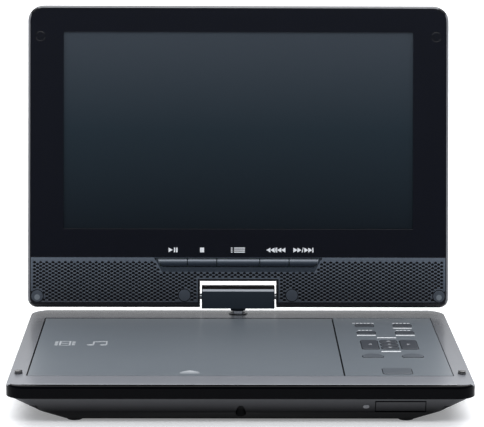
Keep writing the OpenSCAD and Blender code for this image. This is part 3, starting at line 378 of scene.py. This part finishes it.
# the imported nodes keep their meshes; each has a finish and the width of its softened edges
dress = {
    "lid_front_frame": ("frameBlack", 0.3), "lid_rear_cover": ("lidBack", 0.15),
    "screen_window": ("window", 0.12), "lcd_panel": ("screen", 0.0), "speakers": ("speaker", 0.0),
    "display_board": ("board", 0.0), "lid_key_board": ("board", 0.0),
    "lid_screw_plugs": ("plug", 0.25), "lid_screws": ("steel", 0.2),
    "left_hinge_arm": ("steel", 0.15), "right_hinge_arm": ("steel", 0.15), "hinge_block": ("hinge", 0.35),
    "swivel_post": ("chrome", 0.15), "swivel_bracket": ("steel", 0.15),
    "base_bottom_shell": ("shell", 0.2), "base_top_cover": ("cover", 0.15),
    "control_fascia": ("satin", 0.15), "disc_door": ("satin", 0.2), "disc_deck": ("deck", 0.3),
    "drive_chassis": ("steel", 0.15), "spindle_motor": ("steel", 0.2), "feed_motor": ("steel", 0.2),
    "guide_rods": ("chrome", 0.1), "chassis_dampers": ("rubber", 0.2),
    "main_board": ("board", 0.0), "battery_pack": ("battery", 0.6), "key_board": ("board", 0.0),
    "rubber_feet": ("rubber", 0.35), "lid_bumpers": ("bumper", 0.1), "base_screws": ("darkSteel", 0.2),
    "socket_panel": ("deck", 0.1), "jack_sockets": ("deck", 0.15), "card_reader": ("steel", 0.1),
    "charge_lens": ("lens", 0.2), "volume_pot": ("steel", 0.1), "door_latch": ("deck", 0.15),
    "port_flap": ("shell", 0.2), "volume_dial": ("frameBlack", 0.12), "power_switch": ("frameBlack", 0.15),
    "turntable": ("deck", 0.25), "laser_sled": ("deck", 0.2), "pickup_lens": ("pickup", 0.3),
    "feed_screw": ("steel", 0.1),
}
keyDress = dict(
    lidKey=["play_key", "stop_key", "menu_key", "back_key", "forward_key"],
    keyGrey=["setup_key", "subtitle_key", "display_key", "audio_key",
             "up_key", "down_key", "left_key", "right_key", "enter_key"],
    keyMid=["return_key", "repeat_key", "source_key"],
)
keyEdge = 0.3
for finishName, keys in keyDress.items():
    dress.update({key: (finishName, keyEdge) for key in keys})

soften = dict(weld=0.005, flatDegrees=0.6, bevelDegrees=38, segments=2)


def dressNode(name, finishName, edge):
    node = frame["nodes"][name]
    node.data.materials.clear()
    node.data.materials.append(finish[finishName])
    node.data.shade_smooth()
    weld = node.modifiers.new("weld", "WELD")
    weld.merge_threshold = soften["weld"] * mm
    planes = node.modifiers.new("planes", "DECIMATE")
    planes.decimate_type = "DISSOLVE"
    planes.angle_limit = math.radians(soften["flatDegrees"])
    planes.delimit = {"MATERIAL"}
    if edge:
        bevel = node.modifiers.new("edges", "BEVEL")
        bevel.width = edge * mm
        bevel.segments = soften["segments"]
        bevel.limit_method = "ANGLE"
        bevel.angle_limit = math.radians(soften["bevelDegrees"])
        bevel.harden_normals = True
    shade = node.modifiers.new("shade", "WEIGHTED_NORMAL")
    shade.keep_sharp = True


def paintFaces(nodeName, finishName, chosen):
    # gives a second finish to the faces that chosen picks
    mesh = frame["nodes"][nodeName].data
    mesh.materials.append(finish[finishName])
    for face in mesh.polygons:
        if chosen(face):
            face.material_index = len(mesh.materials) - 1


for nodeName, (finishName, edge) in dress.items():
    dressNode(nodeName, finishName, edge)

# the top cover's wall and its rounded front edge are gloss black
coverSplit = dict(wallTop=19.8, flat=0.985, frontward=0.55)


def isBand(face):
    level = math.hypot(face.normal.x, face.normal.y)
    rolled = face.normal.z < coverSplit["flat"] and -face.normal.y > coverSplit["frontward"] * level
    return face.center.z < coverSplit["wallTop"] * mm or rolled


paintFaces("base_top_cover", "band", isBand)

# lid front: key surround in the keys' grey, a painted highlight on the rolled rim along the top and sides
lidSplit = dict(
    half=49.0, low=14.6, high=23.2, frontward=0.5,
    rimDeep=1.5, rimLow=0.3, rimHigh=0.97, rimDown=-0.3, rimSide=118.2, rimTop=164.2,
)


def lidSpot(face):
    # where a face lies on the lid, and which way it looks
    return toLid @ face.center, (toLid.to_3x3() @ face.normal).normalized()


def isSurround(face):
    spot, way = lidSpot(face)
    inside = abs(spot.x) < lidSplit["half"] and lidSplit["low"] < spot.z < lidSplit["high"]
    return inside and -way.y > lidSplit["frontward"]


def isRim(face):
    spot, way = lidSpot(face)
    rolled = lidSplit["rimLow"] < -way.y < lidSplit["rimHigh"] and way.z > lidSplit["rimDown"]
    atEdge = abs(spot.x) > lidSplit["rimSide"] or spot.z > lidSplit["rimTop"]
    return rolled and atEdge and spot.y < lid["faceY"] + lidSplit["rimDeep"]


paintFaces("lid_front_frame", "keyGloss", isSurround)
paintFaces("lid_front_frame", "rim", isRim)
# the lower screw plugs match the speaker strip
paintFaces("lid_screw_plugs", "grille", lambda face: (toLid @ face.center).z < lidSplit["high"])

# door and control panel: painted tops, and painted shade on their black edges in the gaps
edgeOn = 0.5  # a face whose normal leans further than this share is an edge
for panelName in ("disc_door", "control_fascia"):
    paintFaces(panelName, "band", lambda face: abs(face.normal.z) < edgeOn)

# port flap and its seat in the shell: the same painted shade on the edges in the gap
flapLow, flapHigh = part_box("port_flap")
broad = max(frame["nodes"]["port_flap"].data.polygons, key=lambda f: f.area).normal.copy()


def isFlapEdge(face):
    inSeat = all(flapLow[i] - mm < face.center[i] < flapHigh[i] + mm for i in range(3))
    return inSeat and abs(face.normal.dot(broad)) < edgeOn


for panelName in ("port_flap", "base_bottom_shell"):
    paintFaces(panelName, "band", isFlapEdge)
print("nodes dressed:", len(dress), "of", len(frame["nodes"]))

# speaker strip: a skin of sunk round cells on a hexagonal lattice, inside the frame's shallow pocket
grille = dict(
    step=2.03, half=117.0, low=-3.0, high=20.95, land=0.1, cell=0.95, lip=0.12, deep=0.36, taper=0.46,
    litFrom=0.2, clear=0.95, tuck=0.9, weld=0.01, notchHalf=23.0, notchHigh=10.15,
    surroundHigh=22.65, surroundLow=15.2, surroundHalf=47.95, surroundLean=4.0,
    bossR=3.1, bosses=[(114.5, 0.4), (30.6, 0.9)],
)


def gapToEdge(shape, x, z):
    # how far a point lies inside the pocket, clear of the hinge notch, the key surround and the screw bosses
    x = abs(x)
    room = min(shape["half"] - x, z - shape["low"], shape["high"] - z)
    pastX = x - shape["notchHalf"]
    pastZ = z - shape["notchHigh"]
    outside = pastX > 0 or pastZ > 0
    room = min(room, math.hypot(max(pastX, 0), max(pastZ, 0)) if outside else max(pastX, pastZ))
    rise = (z - shape["surroundLow"]) / (shape["surroundHigh"] - shape["surroundLow"])
    side = shape["surroundHalf"] - shape["surroundLean"] * (1 - max(rise, 0))
    room = min(room, max(x - side, shape["surroundLow"] - z))
    for bossX, bossZ in shape["bosses"]:
        room = min(room, math.hypot(x - bossX, z - bossZ) - shape["bossR"])
    return room


def cellSkin(shape):
    bm = bmesh.new()
    across = shape["step"] * math.sqrt(3) / 2
    columns = int(shape["half"] / across) + 1
    rows = int((shape["high"] - shape["low"]) / shape["step"]) + 2
    upright = Matrix.Rotation(math.pi / 2, 4, "Z")
    for i in range(-columns, columns + 1):
        for j in range(-1, rows):
            x = i * across
            z = shape["low"] + (j + 0.5 * (i % 2)) * shape["step"]
            if gapToEdge(shape, x, z) > -shape["tuck"]:
                place = Matrix.Translation((x, z, -shape["land"])) @ upright
                bmesh.ops.create_circle(bm, cap_ends=True, segments=6, radius=shape["step"] / math.sqrt(3),
                                        matrix=place)
    bmesh.ops.remove_doubles(bm, verts=bm.verts, dist=shape["weld"])
    bmesh.ops.subdivide_edges(bm, edges=bm.edges[:], cuts=1)
    bmesh.ops.recalc_face_normals(bm, faces=bm.faces)
    if sum(f.normal.z for f in bm.faces) < 0:
        bmesh.ops.reverse_faces(bm, faces=bm.faces)
    sunk = [f for f in bm.faces if gapToEdge(shape, *f.calc_center_bounds().xy) > shape["clear"]]
    bmesh.ops.inset_individual(bm, faces=sunk, thickness=shape["lip"], depth=0.0)
    for f in sunk:
        middle = f.calc_center_bounds()
        for v in f.verts:
            v.co = middle + (v.co - middle).normalized() * shape["cell"]
    sides = bmesh.ops.inset_individual(bm, faces=sunk, thickness=shape["taper"], depth=-shape["deep"])
    bm.normal_update()
    # the floor of each cell and its walls that look down take a painted shadow
    for f in sunk + [side for side in sides["faces"] if side.normal.y < shape["litFrom"]]:
        f.material_index = 1  # the floor, and the walls that look down
    return bm


skin = addPiece("grilleSkin", cellSkin(grille), lidFace(lid["faceY"]), "lid", finish["grille"])
skin.data.materials.append(finish["grilleFloor"])

# plain border above and beside the strip and round its screw plugs
border = dict(inner=47.3, lean=0.8, outer=118.1, low=20.85, high=22.35, sideIn=116.9, foot=3.2, thick=0.03,
              ringIn=2.5, ringOut=3.3, ringSegments=40)
borders = bmesh.new()
for side in (-1, 1):
    across = [(border["inner"], border["low"]), (border["outer"], border["low"]),
              (border["outer"], border["high"]), (border["inner"] + border["lean"], border["high"])]
    beside = rect(border["sideIn"], border["foot"], border["outer"], border["low"])
    for outline in (across, beside):
        extrudeOutline(borders, [(side * x, z) for x, z in outline], border["thick"])
    for bossX, bossZ in grille["bosses"]:
        ring = flatRing(border["ringIn"], border["ringOut"], border["thick"], border["ringSegments"])
        joinTo(borders, ring, Matrix.Translation((side * bossX, bossZ, 0)))
addPiece("stripBorder", borders, lidFace(lid["faceY"]), "lid", finish["grille"])

# lower lip of the key surround, standing in the strip's pocket
lip = dict(top=15.25, topHalf=44.0, foot=14.25, footHalf=43.5, sunk=-0.15, thick=0.18)
lipOutline = [(-lip["topHalf"], lip["top"]), (lip["topHalf"], lip["top"]),
              (lip["footHalf"], lip["foot"]), (-lip["footHalf"], lip["foot"])]
lipMesh = bmesh.new()
extrudeOutline(lipMesh, lipOutline, lip["thick"], lip["sunk"])
addPiece("surroundLip", lipMesh, lidFace(lid["faceY"]), "lid", finish["keyGloss"])

# painted highlights on the heads of the corner plugs
plugHead = dict(x=114.5, z=-0.3, r=1.6, thick=0.05, segments=28)
plugSpots = [toLid @ v.co for v in frame["nodes"]["lid_screw_plugs"].data.vertices]
plugFace = min(spot.y for spot in plugSpots if spot.z < lidSplit["high"])
heads = bmesh.new()
for side in (-1, 1):
    spot = Matrix.Translation((side * plugHead["x"], plugHead["z"], plugHead["thick"]))
    bmesh.ops.create_circle(heads, cap_ends=True, segments=plugHead["segments"], radius=plugHead["r"],
                            matrix=spot)
addPiece("plugHighlights", heads, lidFace(plugFace), "lid", finish["satin"])
print("speaker strip made:", len(skin.data.polygons), "faces")

# printed marks: each a thin solid of flat outlines on its surface
ink = 0.03


def markSheet(outlines):
    bm = bmesh.new()
    for points in outlines:
        extrudeOutline(bm, points, ink)
    return bm


# signs over the lid keys: play and pause, stop, a list, step back, step forward
lidMarks = dict(
    low=25.35, high=28.05, play=-39.7, stop=-21.8, menu=-4.2, back=16.0, forward=31.4,
    playLong=2.4, pauseAt=(3.0, 4.3), pauseWide=0.8, stopWide=2.3,
    rows=3, rowDrop=0.1, rowStep=1.15, rowThick=0.55, rowDot=(0, 0.9), rowLine=(1.8, 8.0),
    arrowLong=2.3, arrowAt=(0, 2.3, 6.2, 8.5), barWide=0.6, slashWide=0.4, slashLean=0.7,
    backBar=5.6, backSlash=4.6, forwardBar=10.8, forwardSlash=4.75,
)


def lidMarkOutlines(at):
    low, high = at["low"], at["high"]
    tall = high - low
    shapes = [triangle(at["play"], low, at["playLong"], tall)]
    shapes += [rect(at["play"] + x, low, at["play"] + x + at["pauseWide"], high) for x in at["pauseAt"]]
    shapes.append(rect(at["stop"], low, at["stop"] + at["stopWide"], high))
    for row in range(at["rows"]):
        z = low - at["rowDrop"] + row * at["rowStep"]
        for near, far in (at["rowDot"], at["rowLine"]):
            shapes.append(rect(at["menu"] + near, z, at["menu"] + far, z + at["rowThick"]))
    for name, way in (("back", -1), ("forward", 1)):
        heel = at[name] if way > 0 else at[name] + at["arrowLong"]
        shapes += [triangle(heel + x, low, at["arrowLong"] * way, tall) for x in at["arrowAt"]]
        bar = at[name] + at[name + "Bar"]
        shapes.append(rect(bar, low, bar + at["barWide"], high))
        foot = at[name] + at[name + "Slash"]
        tip = foot + at["slashLean"]
        wide = at["slashWide"]
        shapes.append([(foot, low), (foot + wide, low), (tip + wide, high), (tip, high)])
    return shapes


addPiece("lidMarks", markSheet(lidMarkOutlines(lidMarks)), lidFace(lid["windowY"]), "lid",
         finish["print"])

# key labels as dashes and painted highlights along the front edges of keys, each as (left, right, place from
# the front edge)
keypadMarks = dict(
    dashes=[(64.2, 76.2, 140.5), (86.5, 96.5, 140.5), (65.9, 74.5, 123.0), (87.4, 95.3, 123.0)],
    edgeGlints=[(86.2, 96.6, 128.1), (65.0, 75.4, 110.8), (86.5, 96.9, 110.8),
          (75.8, 86.2, 105.2), (76.0, 86.4, 73.2)],
    dashDeep=1.0, dashLong=1.5, dashGap=0.6, barDeep=1.5,
)


def dashRow(x0, x1, y, long, gap, deep):
    count = int((x1 - x0 + gap) / (long + gap))
    start = (x0 + x1 - count * (long + gap) + gap) / 2
    lefts = [start + i * (long + gap) for i in range(count)]
    return [rect(left, y - deep / 2, left + long, y + deep / 2) for left in lefts]


halfBar = keypadMarks["barDeep"] / 2
edgeGlints = [rect(x0, y - halfBar, x1, y + halfBar) for x0, x1, y in keypadMarks["edgeGlints"]]
dashes = []
for x0, x1, y in keypadMarks["dashes"]:
    dashes += dashRow(x0, x1, y, keypadMarks["dashLong"], keypadMarks["dashGap"], keypadMarks["dashDeep"])
# the solid strips are painted highlights on the keys' front edges, in the print finish
addPiece("keypadGlints", markSheet(edgeGlints), baseTop(base["topZ"]), "base", finish["print"])
addPiece("keypadDashes", markSheet(dashes), baseTop(base["topZ"]), "base", finish["print"])

# door signs, each with its corner, width and height, and the sizes of its strokes
film = dict(x=-100.0, y=86.2, w=11.4, h=10.2, rail=0.9, side=2.6, rungs=(0.05, 0.5, 0.95),
            holes=4, holeInset=0.4, holeNear=0.2, holeFar=1.9, holeTall=1.6)
note = dict(x=-82.4, y=86.2, w=11.0, h=10.2, headWide=2.0, headTall=1.5, headSteps=16,
            stem=0.85, stemFoot=2.2, beam=2.2, beamDrop=0.8)
eject = dict(x=-31.0, y=25.2, w=10.0, h=6.6, bar=1.5, gap=0.9)


def filmOutlines(at):
    # one film frame: rails and rungs round the picture, holes along both sides
    x, y, w, h, rail = at["x"], at["y"], at["w"], at["h"], at["rail"]
    left, right = x + at["side"], x + w - at["side"]
    shapes = [rect(left, y, left + rail, y + h), rect(right - rail, y, right, y + h)]
    for share in at["rungs"]:
        middle = y + h * share
        shapes.append(rect(left + rail, middle - rail / 2, right - rail, middle + rail / 2))
    for i in range(at["holes"]):
        low = y + at["holeInset"] + i * (h - 2 * at["holeInset"]) / at["holes"]
        high = low + at["holeTall"]
        shapes.append(rect(x + at["holeNear"], low, x + at["holeFar"], high))
        shapes.append(rect(x + w - at["holeFar"], low, x + w - at["holeNear"], high))
    return shapes


def noteOutlines(at):
    # two joined notes: round heads, stems and a slanted beam
    x, y, w, top = at["x"], at["y"], at["w"], at["y"] + at["h"]
    wide, tall, beamLow = at["headWide"], at["headTall"], top - at["beam"]
    turns = [2 * math.pi * i / at["headSteps"] for i in range(at["headSteps"])]
    shapes = []
    for headX in (x + wide, x + w - wide):
        shapes.append([(headX + wide * math.cos(t), y + tall + tall * math.sin(t)) for t in turns])
        shapes.append(rect(headX + wide - at["stem"], y + at["stemFoot"], headX + wide, beamLow))
    left = x + 2 * wide - at["stem"]
    shapes.append([(left, beamLow), (x + w, beamLow), (x + w, top), (left, top - at["beamDrop"])])
    return shapes


def ejectOutlines(at):
    x, y, w = at["x"], at["y"], at["w"]
    foot = y + at["bar"] + at["gap"]
    return [[(x, foot), (x + w, foot), (x + w / 2, y + at["h"])], rect(x, y, x + w, y + at["bar"])]


doorShapes = filmOutlines(film) + noteOutlines(note) + ejectOutlines(eject)
addPiece("doorMarks", markSheet(doorShapes), baseTop(base["topZ"]), "door", finish["doorPrint"])
print("marks printed")

# pale strip along the hinge block's front chamfer, given by its two edges as (y, z) from the tilt axis
hingeTrim = dict(half=20.4, low=(-6.2, 3.2), high=(-4.9, 5.2), thick=0.14, start=0.95, end=0.05, round=0.05)
trimLow = Vector((0, *hingeTrim["low"]))
along = Vector((0, *hingeTrim["high"])) - trimLow
rise = along.normalized()
out = Vector((0, -rise.z, rise.y))
trimMesh = bmesh.new()
trimOutline = rect(-hingeTrim["half"], hingeTrim["start"], hingeTrim["half"], along.length - hingeTrim["end"])
extrudeOutline(trimMesh, trimOutline, hingeTrim["thick"])
bmesh.ops.bevel(trimMesh, geom=trimMesh.edges[:], offset=hingeTrim["round"], affect="EDGES", segments=2,
                profile=0.5, material=-1)
trimPlace = Matrix(((1, 0, 0, 0), (0, rise.y, out.y, trimLow.y), (0, rise.z, out.z, trimLow.z), (0, 0, 0, 1)))
addPiece("hingeTrim", trimMesh, pivotFrame @ trimPlace, "hinge", finish["trim"])
# painted shade: the block is painted black above the strip
toPivot = pivotFrame.inverted()
paintFaces("hinge_block", "band", lambda face: (toPivot @ face.center).z > hingeTrim["high"][1])
print("hinge trim made")

# painted highlight where the top cover rolls over at the front
coverHighlight = dict(half=109.0, low=2.05, wide=1.1)
edgeHigh = coverHighlight["low"] + coverHighlight["wide"]
edgeShape = rect(-coverHighlight["half"], coverHighlight["low"], coverHighlight["half"], edgeHigh)
addPiece("coverHighlight", markSheet([edgeShape]), baseTop(base["topZ"]), "base", finish["edge"])

# painted shadow lines along the door's two sides, where the gaps are deepest
gapShadows = dict(left=(-109.75, -109.3), right=(53.42, 53.75), low=20.6, high=152.6)
gapShapes = [rect(near, gapShadows["low"], far, gapShadows["high"])
             for near, far in (gapShadows["left"], gapShadows["right"])]
addPiece("gapShadows", markSheet(gapShapes), baseTop(base["topZ"]), "base", finish["band"])

# deep painted shadow line over and beside the port flap, on the shell's slope
flapShade = dict(wide=0.85, side=0.45, near=0.02, level=0.05)
flapMesh = frame["nodes"]["port_flap"].data
front = max((f for f in flapMesh.polygons if f.normal.y < 0), key=lambda f: f.area)
acrossSlope = Vector((1, 0, 0))
upSlope = front.normal.cross(acrossSlope)
slope = (Matrix.Translation(front.center)
         @ Matrix((acrossSlope, upSlope, front.normal)).transposed().to_4x4()
         @ Matrix.Scale(mm, 4))
toSlope = slope.inverted()
flat = [spot for spot in (toSlope @ v.co for v in flapMesh.vertices) if abs(spot.z) < flapShade["level"]]
left, right = min(spot.x for spot in flat), max(spot.x for spot in flat)
low, high = min(spot.y for spot in flat), max(spot.y for spot in flat)
near, side = flapShade["near"], flapShade["side"]
flapShapes = [
    rect(left - side, high + near, right + side, high + flapShade["wide"]),
    rect(left - side, low, left - near, high + near),
    rect(right + near, low, right + side, high + near),
]
addPiece("flapShade", markSheet(flapShapes), slope, "base", finish["band"])

# domes of the lid bumpers, just under the closed lid
bumperDome = dict(top=22.5, sunk=0.3)
padLow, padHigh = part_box("lid_bumpers")
padR = (padHigh.y - padLow.y) / 2
domeFoot = padHigh.z - bumperDome["sunk"] * mm
domes = bmesh.new()
for side in (-1, 1):
    spot = Matrix.Translation((side * (padHigh.x - padR), (padLow.y + padHigh.y) / 2, domeFoot))
    shape = Matrix.Diagonal((padR, padR, bumperDome["top"] * mm - domeFoot, 1))
    bmesh.ops.create_uvsphere(domes, u_segments=32, v_segments=16, radius=1.0, matrix=spot @ shape)
addPiece("bumperDomes", domes, Matrix(), "base", finish["bumper"], smooth=True)
print("edge lines and bumper domes made")

# direction arrows on the pad keys, a dot on the middle key
padMarks = dict(wide=2.6, tall=2.2, dot=0.8, dotSegments=20)
padWays = dict(up_key=90, down_key=-90, left_key=180, right_key=0)


def topOf(name):
    # millimetre frame on the middle of a node's top
    low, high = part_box(name)
    return Matrix.Translation(((low.x + high.x) / 2, (low.y + high.y) / 2, high.z)) @ Matrix.Scale(mm, 4)


arrowShape = triangle(-padMarks["tall"] / 2, -padMarks["wide"] / 2, padMarks["tall"], padMarks["wide"])
for keyName, turn in padWays.items():
    arrow = markSheet([arrowShape])
    pointing = Matrix.Rotation(math.radians(turn), 3, "Z")
    bmesh.ops.rotate(arrow, verts=arrow.verts, cent=(0, 0, 0), matrix=pointing)
    addPiece(keyName.replace("_key", "Arrow"), arrow, topOf(keyName), keyName, finish["keyPrint"])
dot = bmesh.new()
bmesh.ops.create_circle(dot, cap_ends=True, segments=padMarks["dotSegments"], radius=padMarks["dot"])
bmesh.ops.solidify(dot, geom=dot.faces[:], thickness=-ink)
bmesh.ops.recalc_face_normals(dot, faces=dot.faces)
addPiece("enterDot", dot, topOf("enter_key"), "enter_key", finish["keyPrint"])

# disc table: rubber ring under the disc and three grip balls round the hub
tableTop = dict(z=15.0, ringIn=9.6, ringOut=15.2, ringHigh=0.16, ringSegments=72,
                ballR=0.65, ballAt=6.9, ballZ=16.0, ballTurns=(90, 210, 330))
discFrame = baseTop(0) @ Matrix.Translation((base["discX"], base["discY"], 0))
tableRing = flatRing(tableTop["ringIn"], tableTop["ringOut"], tableTop["ringHigh"], tableTop["ringSegments"])
addPiece("tableRing", tableRing, discFrame @ Matrix.Translation((0, 0, tableTop["z"])), "platter",
         finish["rubber"])
balls = bmesh.new()
for turn in tableTop["ballTurns"]:
    spot = Matrix.Rotation(math.radians(turn), 4, "Z") @ Vector((tableTop["ballAt"], 0, tableTop["ballZ"]))
    bmesh.ops.create_uvsphere(balls, u_segments=16, v_segments=10, radius=tableTop["ballR"],
                              matrix=Matrix.Translation(spot))
addPiece("gripBalls", balls, discFrame, "platter", finish["steel"], smooth=True)

# pickup lens: a low dome on the lens barrel
lensDome = dict(r=1.7, high=0.3)
dome = bmesh.new()
bmesh.ops.create_uvsphere(dome, u_segments=24, v_segments=12, radius=lensDome["r"])
bmesh.ops.scale(dome, verts=dome.verts, vec=(1, 1, lensDome["high"] / lensDome["r"]))
addPiece("lensDome", dome, topOf("pickup_lens"), "sled", finish["pickup"], smooth=True)

# feed screw thread: a small ridge wound round the bar, one turn for each step of the sled
feedThread = dict(start=5.0, end=7.0, pitch=3.0, root=1.2, crest=1.43, wide=0.8, steps=16)
feedLow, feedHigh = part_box("feed_screw")
threadLong = (feedHigh.y - feedLow.y) / mm - feedThread["start"] - feedThread["end"]
turns = int(threadLong / feedThread["pitch"])
halfWide = feedThread["wide"] / 2
section = ((feedThread["root"], -halfWide, 0), (feedThread["root"], halfWide, 0), (feedThread["crest"], 0, 0))
ridge = bmesh.new()
profile = [ridge.verts.new(c) for c in section]
ridgeFace = ridge.faces.new(profile)
bmesh.ops.spin(ridge, geom=[ridgeFace] + profile + list(ridgeFace.edges), cent=(0, 0, 0), axis=(0, 1, 0),
               dvec=(0, feedThread["pitch"] / feedThread["steps"], 0), angle=turns * 2 * math.pi,
               steps=turns * feedThread["steps"])
bmesh.ops.recalc_face_normals(ridge, faces=ridge.faces)
feedMiddle = (feedLow + feedHigh) / 2
feedPlace = Matrix.Translation((feedMiddle.x, feedLow.y + feedThread["start"] * mm, feedMiddle.z))
addPiece("feedThread", ridge, feedPlace @ Matrix.Scale(mm, 4), "screw", finish["steel"], smooth=True)

# bright rings round the socket mouths
socketRings = dict(inner=1.9, outer=2.45, high=0.14, segments=32, z=10.4, at=[72.0, 86.0, 104.0])
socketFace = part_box("jack_sockets")[1].x / mm
sideways = Matrix.Rotation(math.pi / 2, 4, "Y")
rings = bmesh.new()
for y in socketRings["at"]:
    ring = flatRing(socketRings["inner"], socketRings["outer"], socketRings["high"], socketRings["segments"])
    joinTo(rings, ring, Matrix.Translation((socketFace, y, socketRings["z"])) @ sideways)
addPiece("socketRings", rings, baseTop(0), "base", finish["chrome"])
print("drive and socket details made")

# camera: placed in millimetres, pitched down, turned and rolled in degrees
view = dict(place=(-12.353, -1222.22, 310.366), pitch=10.1846, yaw=-0.6422, roll=0.2144, lens=170.72,
            sensor=36, far=20)
camera = bpy.data.cameras.new("camera")
camera.lens = view["lens"]
camera.sensor_width = view["sensor"]
camera.clip_end = view["far"]
cameraObject = bpy.data.objects.new("camera", camera)
cameraObject.matrix_world = (Matrix.Translation(Vector(view["place"]) * mm)
                             @ Matrix.Rotation(math.radians(view["yaw"]), 4, "Z")
                             @ Matrix.Rotation(math.radians(90 - view["pitch"]), 4, "X")
                             @ Matrix.Rotation(math.radians(view["roll"]), 4, "Z"))
scene.collection.objects.link(cameraObject)
scene.camera = cameraObject

# pale floor: a light table, which keeps it white under the front edge
floor = dict(half=4, glow=0.24, low=(0.88, 0.88, 0.89), high=(0.91, 0.91, 0.92), rough=(0.6, 0.7))
floorSheet = bmesh.new()
bmesh.ops.create_grid(floorSheet, x_segments=1, y_segments=1, size=floor["half"])
floorMesh = bpy.data.meshes.new("floor")
floorSheet.to_mesh(floorMesh)
floorSheet.free()
floorObject = bpy.data.objects.new("floor", floorMesh)
floorPale = moulded("floorPale", floor["low"], floor["high"], floor["rough"], grain=400, bump=0.02)
floorGlow = floorPale.node_tree.nodes["Principled BSDF"].inputs
floorGlow["Emission Color"].default_value = (1, 1, 1, 1)
floorGlow["Emission Strength"].default_value = floor["glow"]
floorMesh.materials.append(floorPale)
scene.collection.objects.link(floorObject)

# soft boxes: places and sizes in metres, power in watts
softBoxes = dict(
    ceiling=dict(place=(0, 2.5, 2.2), aim=(0, 2.5, 0), size=(4.5, 5.0), power=175),
    front=dict(place=(0, -0.8, 1.0), aim=(0, 0, 0.05), size=(1.4, 0.5), power=8),
)


def softLight(name, place, aim, size, power):
    light = bpy.data.lights.new(name, "AREA")
    light.shape = "RECTANGLE"
    light.size, light.size_y = size
    light.energy = power
    lamp = bpy.data.objects.new(name, light)
    lamp.location = place
    lamp.rotation_euler = (Vector(aim) - Vector(place)).to_track_quat("-Z", "Y").to_euler()
    scene.collection.objects.link(lamp)


for name, box in softBoxes.items():
    softLight(name, **box)

# the room: a dim bluish front, bright overhead and behind
room = dict(
    lean=(0, 0.75, 0.66), span=(-0.68, 0.65),
    stops=[(0, (0.1, 0.112, 0.145)), (0.35, (0.36, 0.4, 0.46)), (1, (0.62, 0.63, 0.65))],
)
world = bpy.data.worlds.new("studio")
world.use_nodes = True
worldNodes = world.node_tree.nodes
worldLinks = world.node_tree.links
heading = worldNodes.new("ShaderNodeTexCoord")
facing = worldNodes.new("ShaderNodeVectorMath")
facing.operation = "DOT_PRODUCT"
facing.inputs[1].default_value = room["lean"]
worldLinks.new(heading.outputs["Generated"], facing.inputs[0])
spread = addRange(worldNodes, worldLinks, facing.outputs["Value"], room["span"], 0, 1)
sky = addRamp(worldNodes, worldLinks, spread, room["stops"])
worldLinks.new(sky, worldNodes["Background"].inputs["Color"])
scene.world = world
print("stage set")
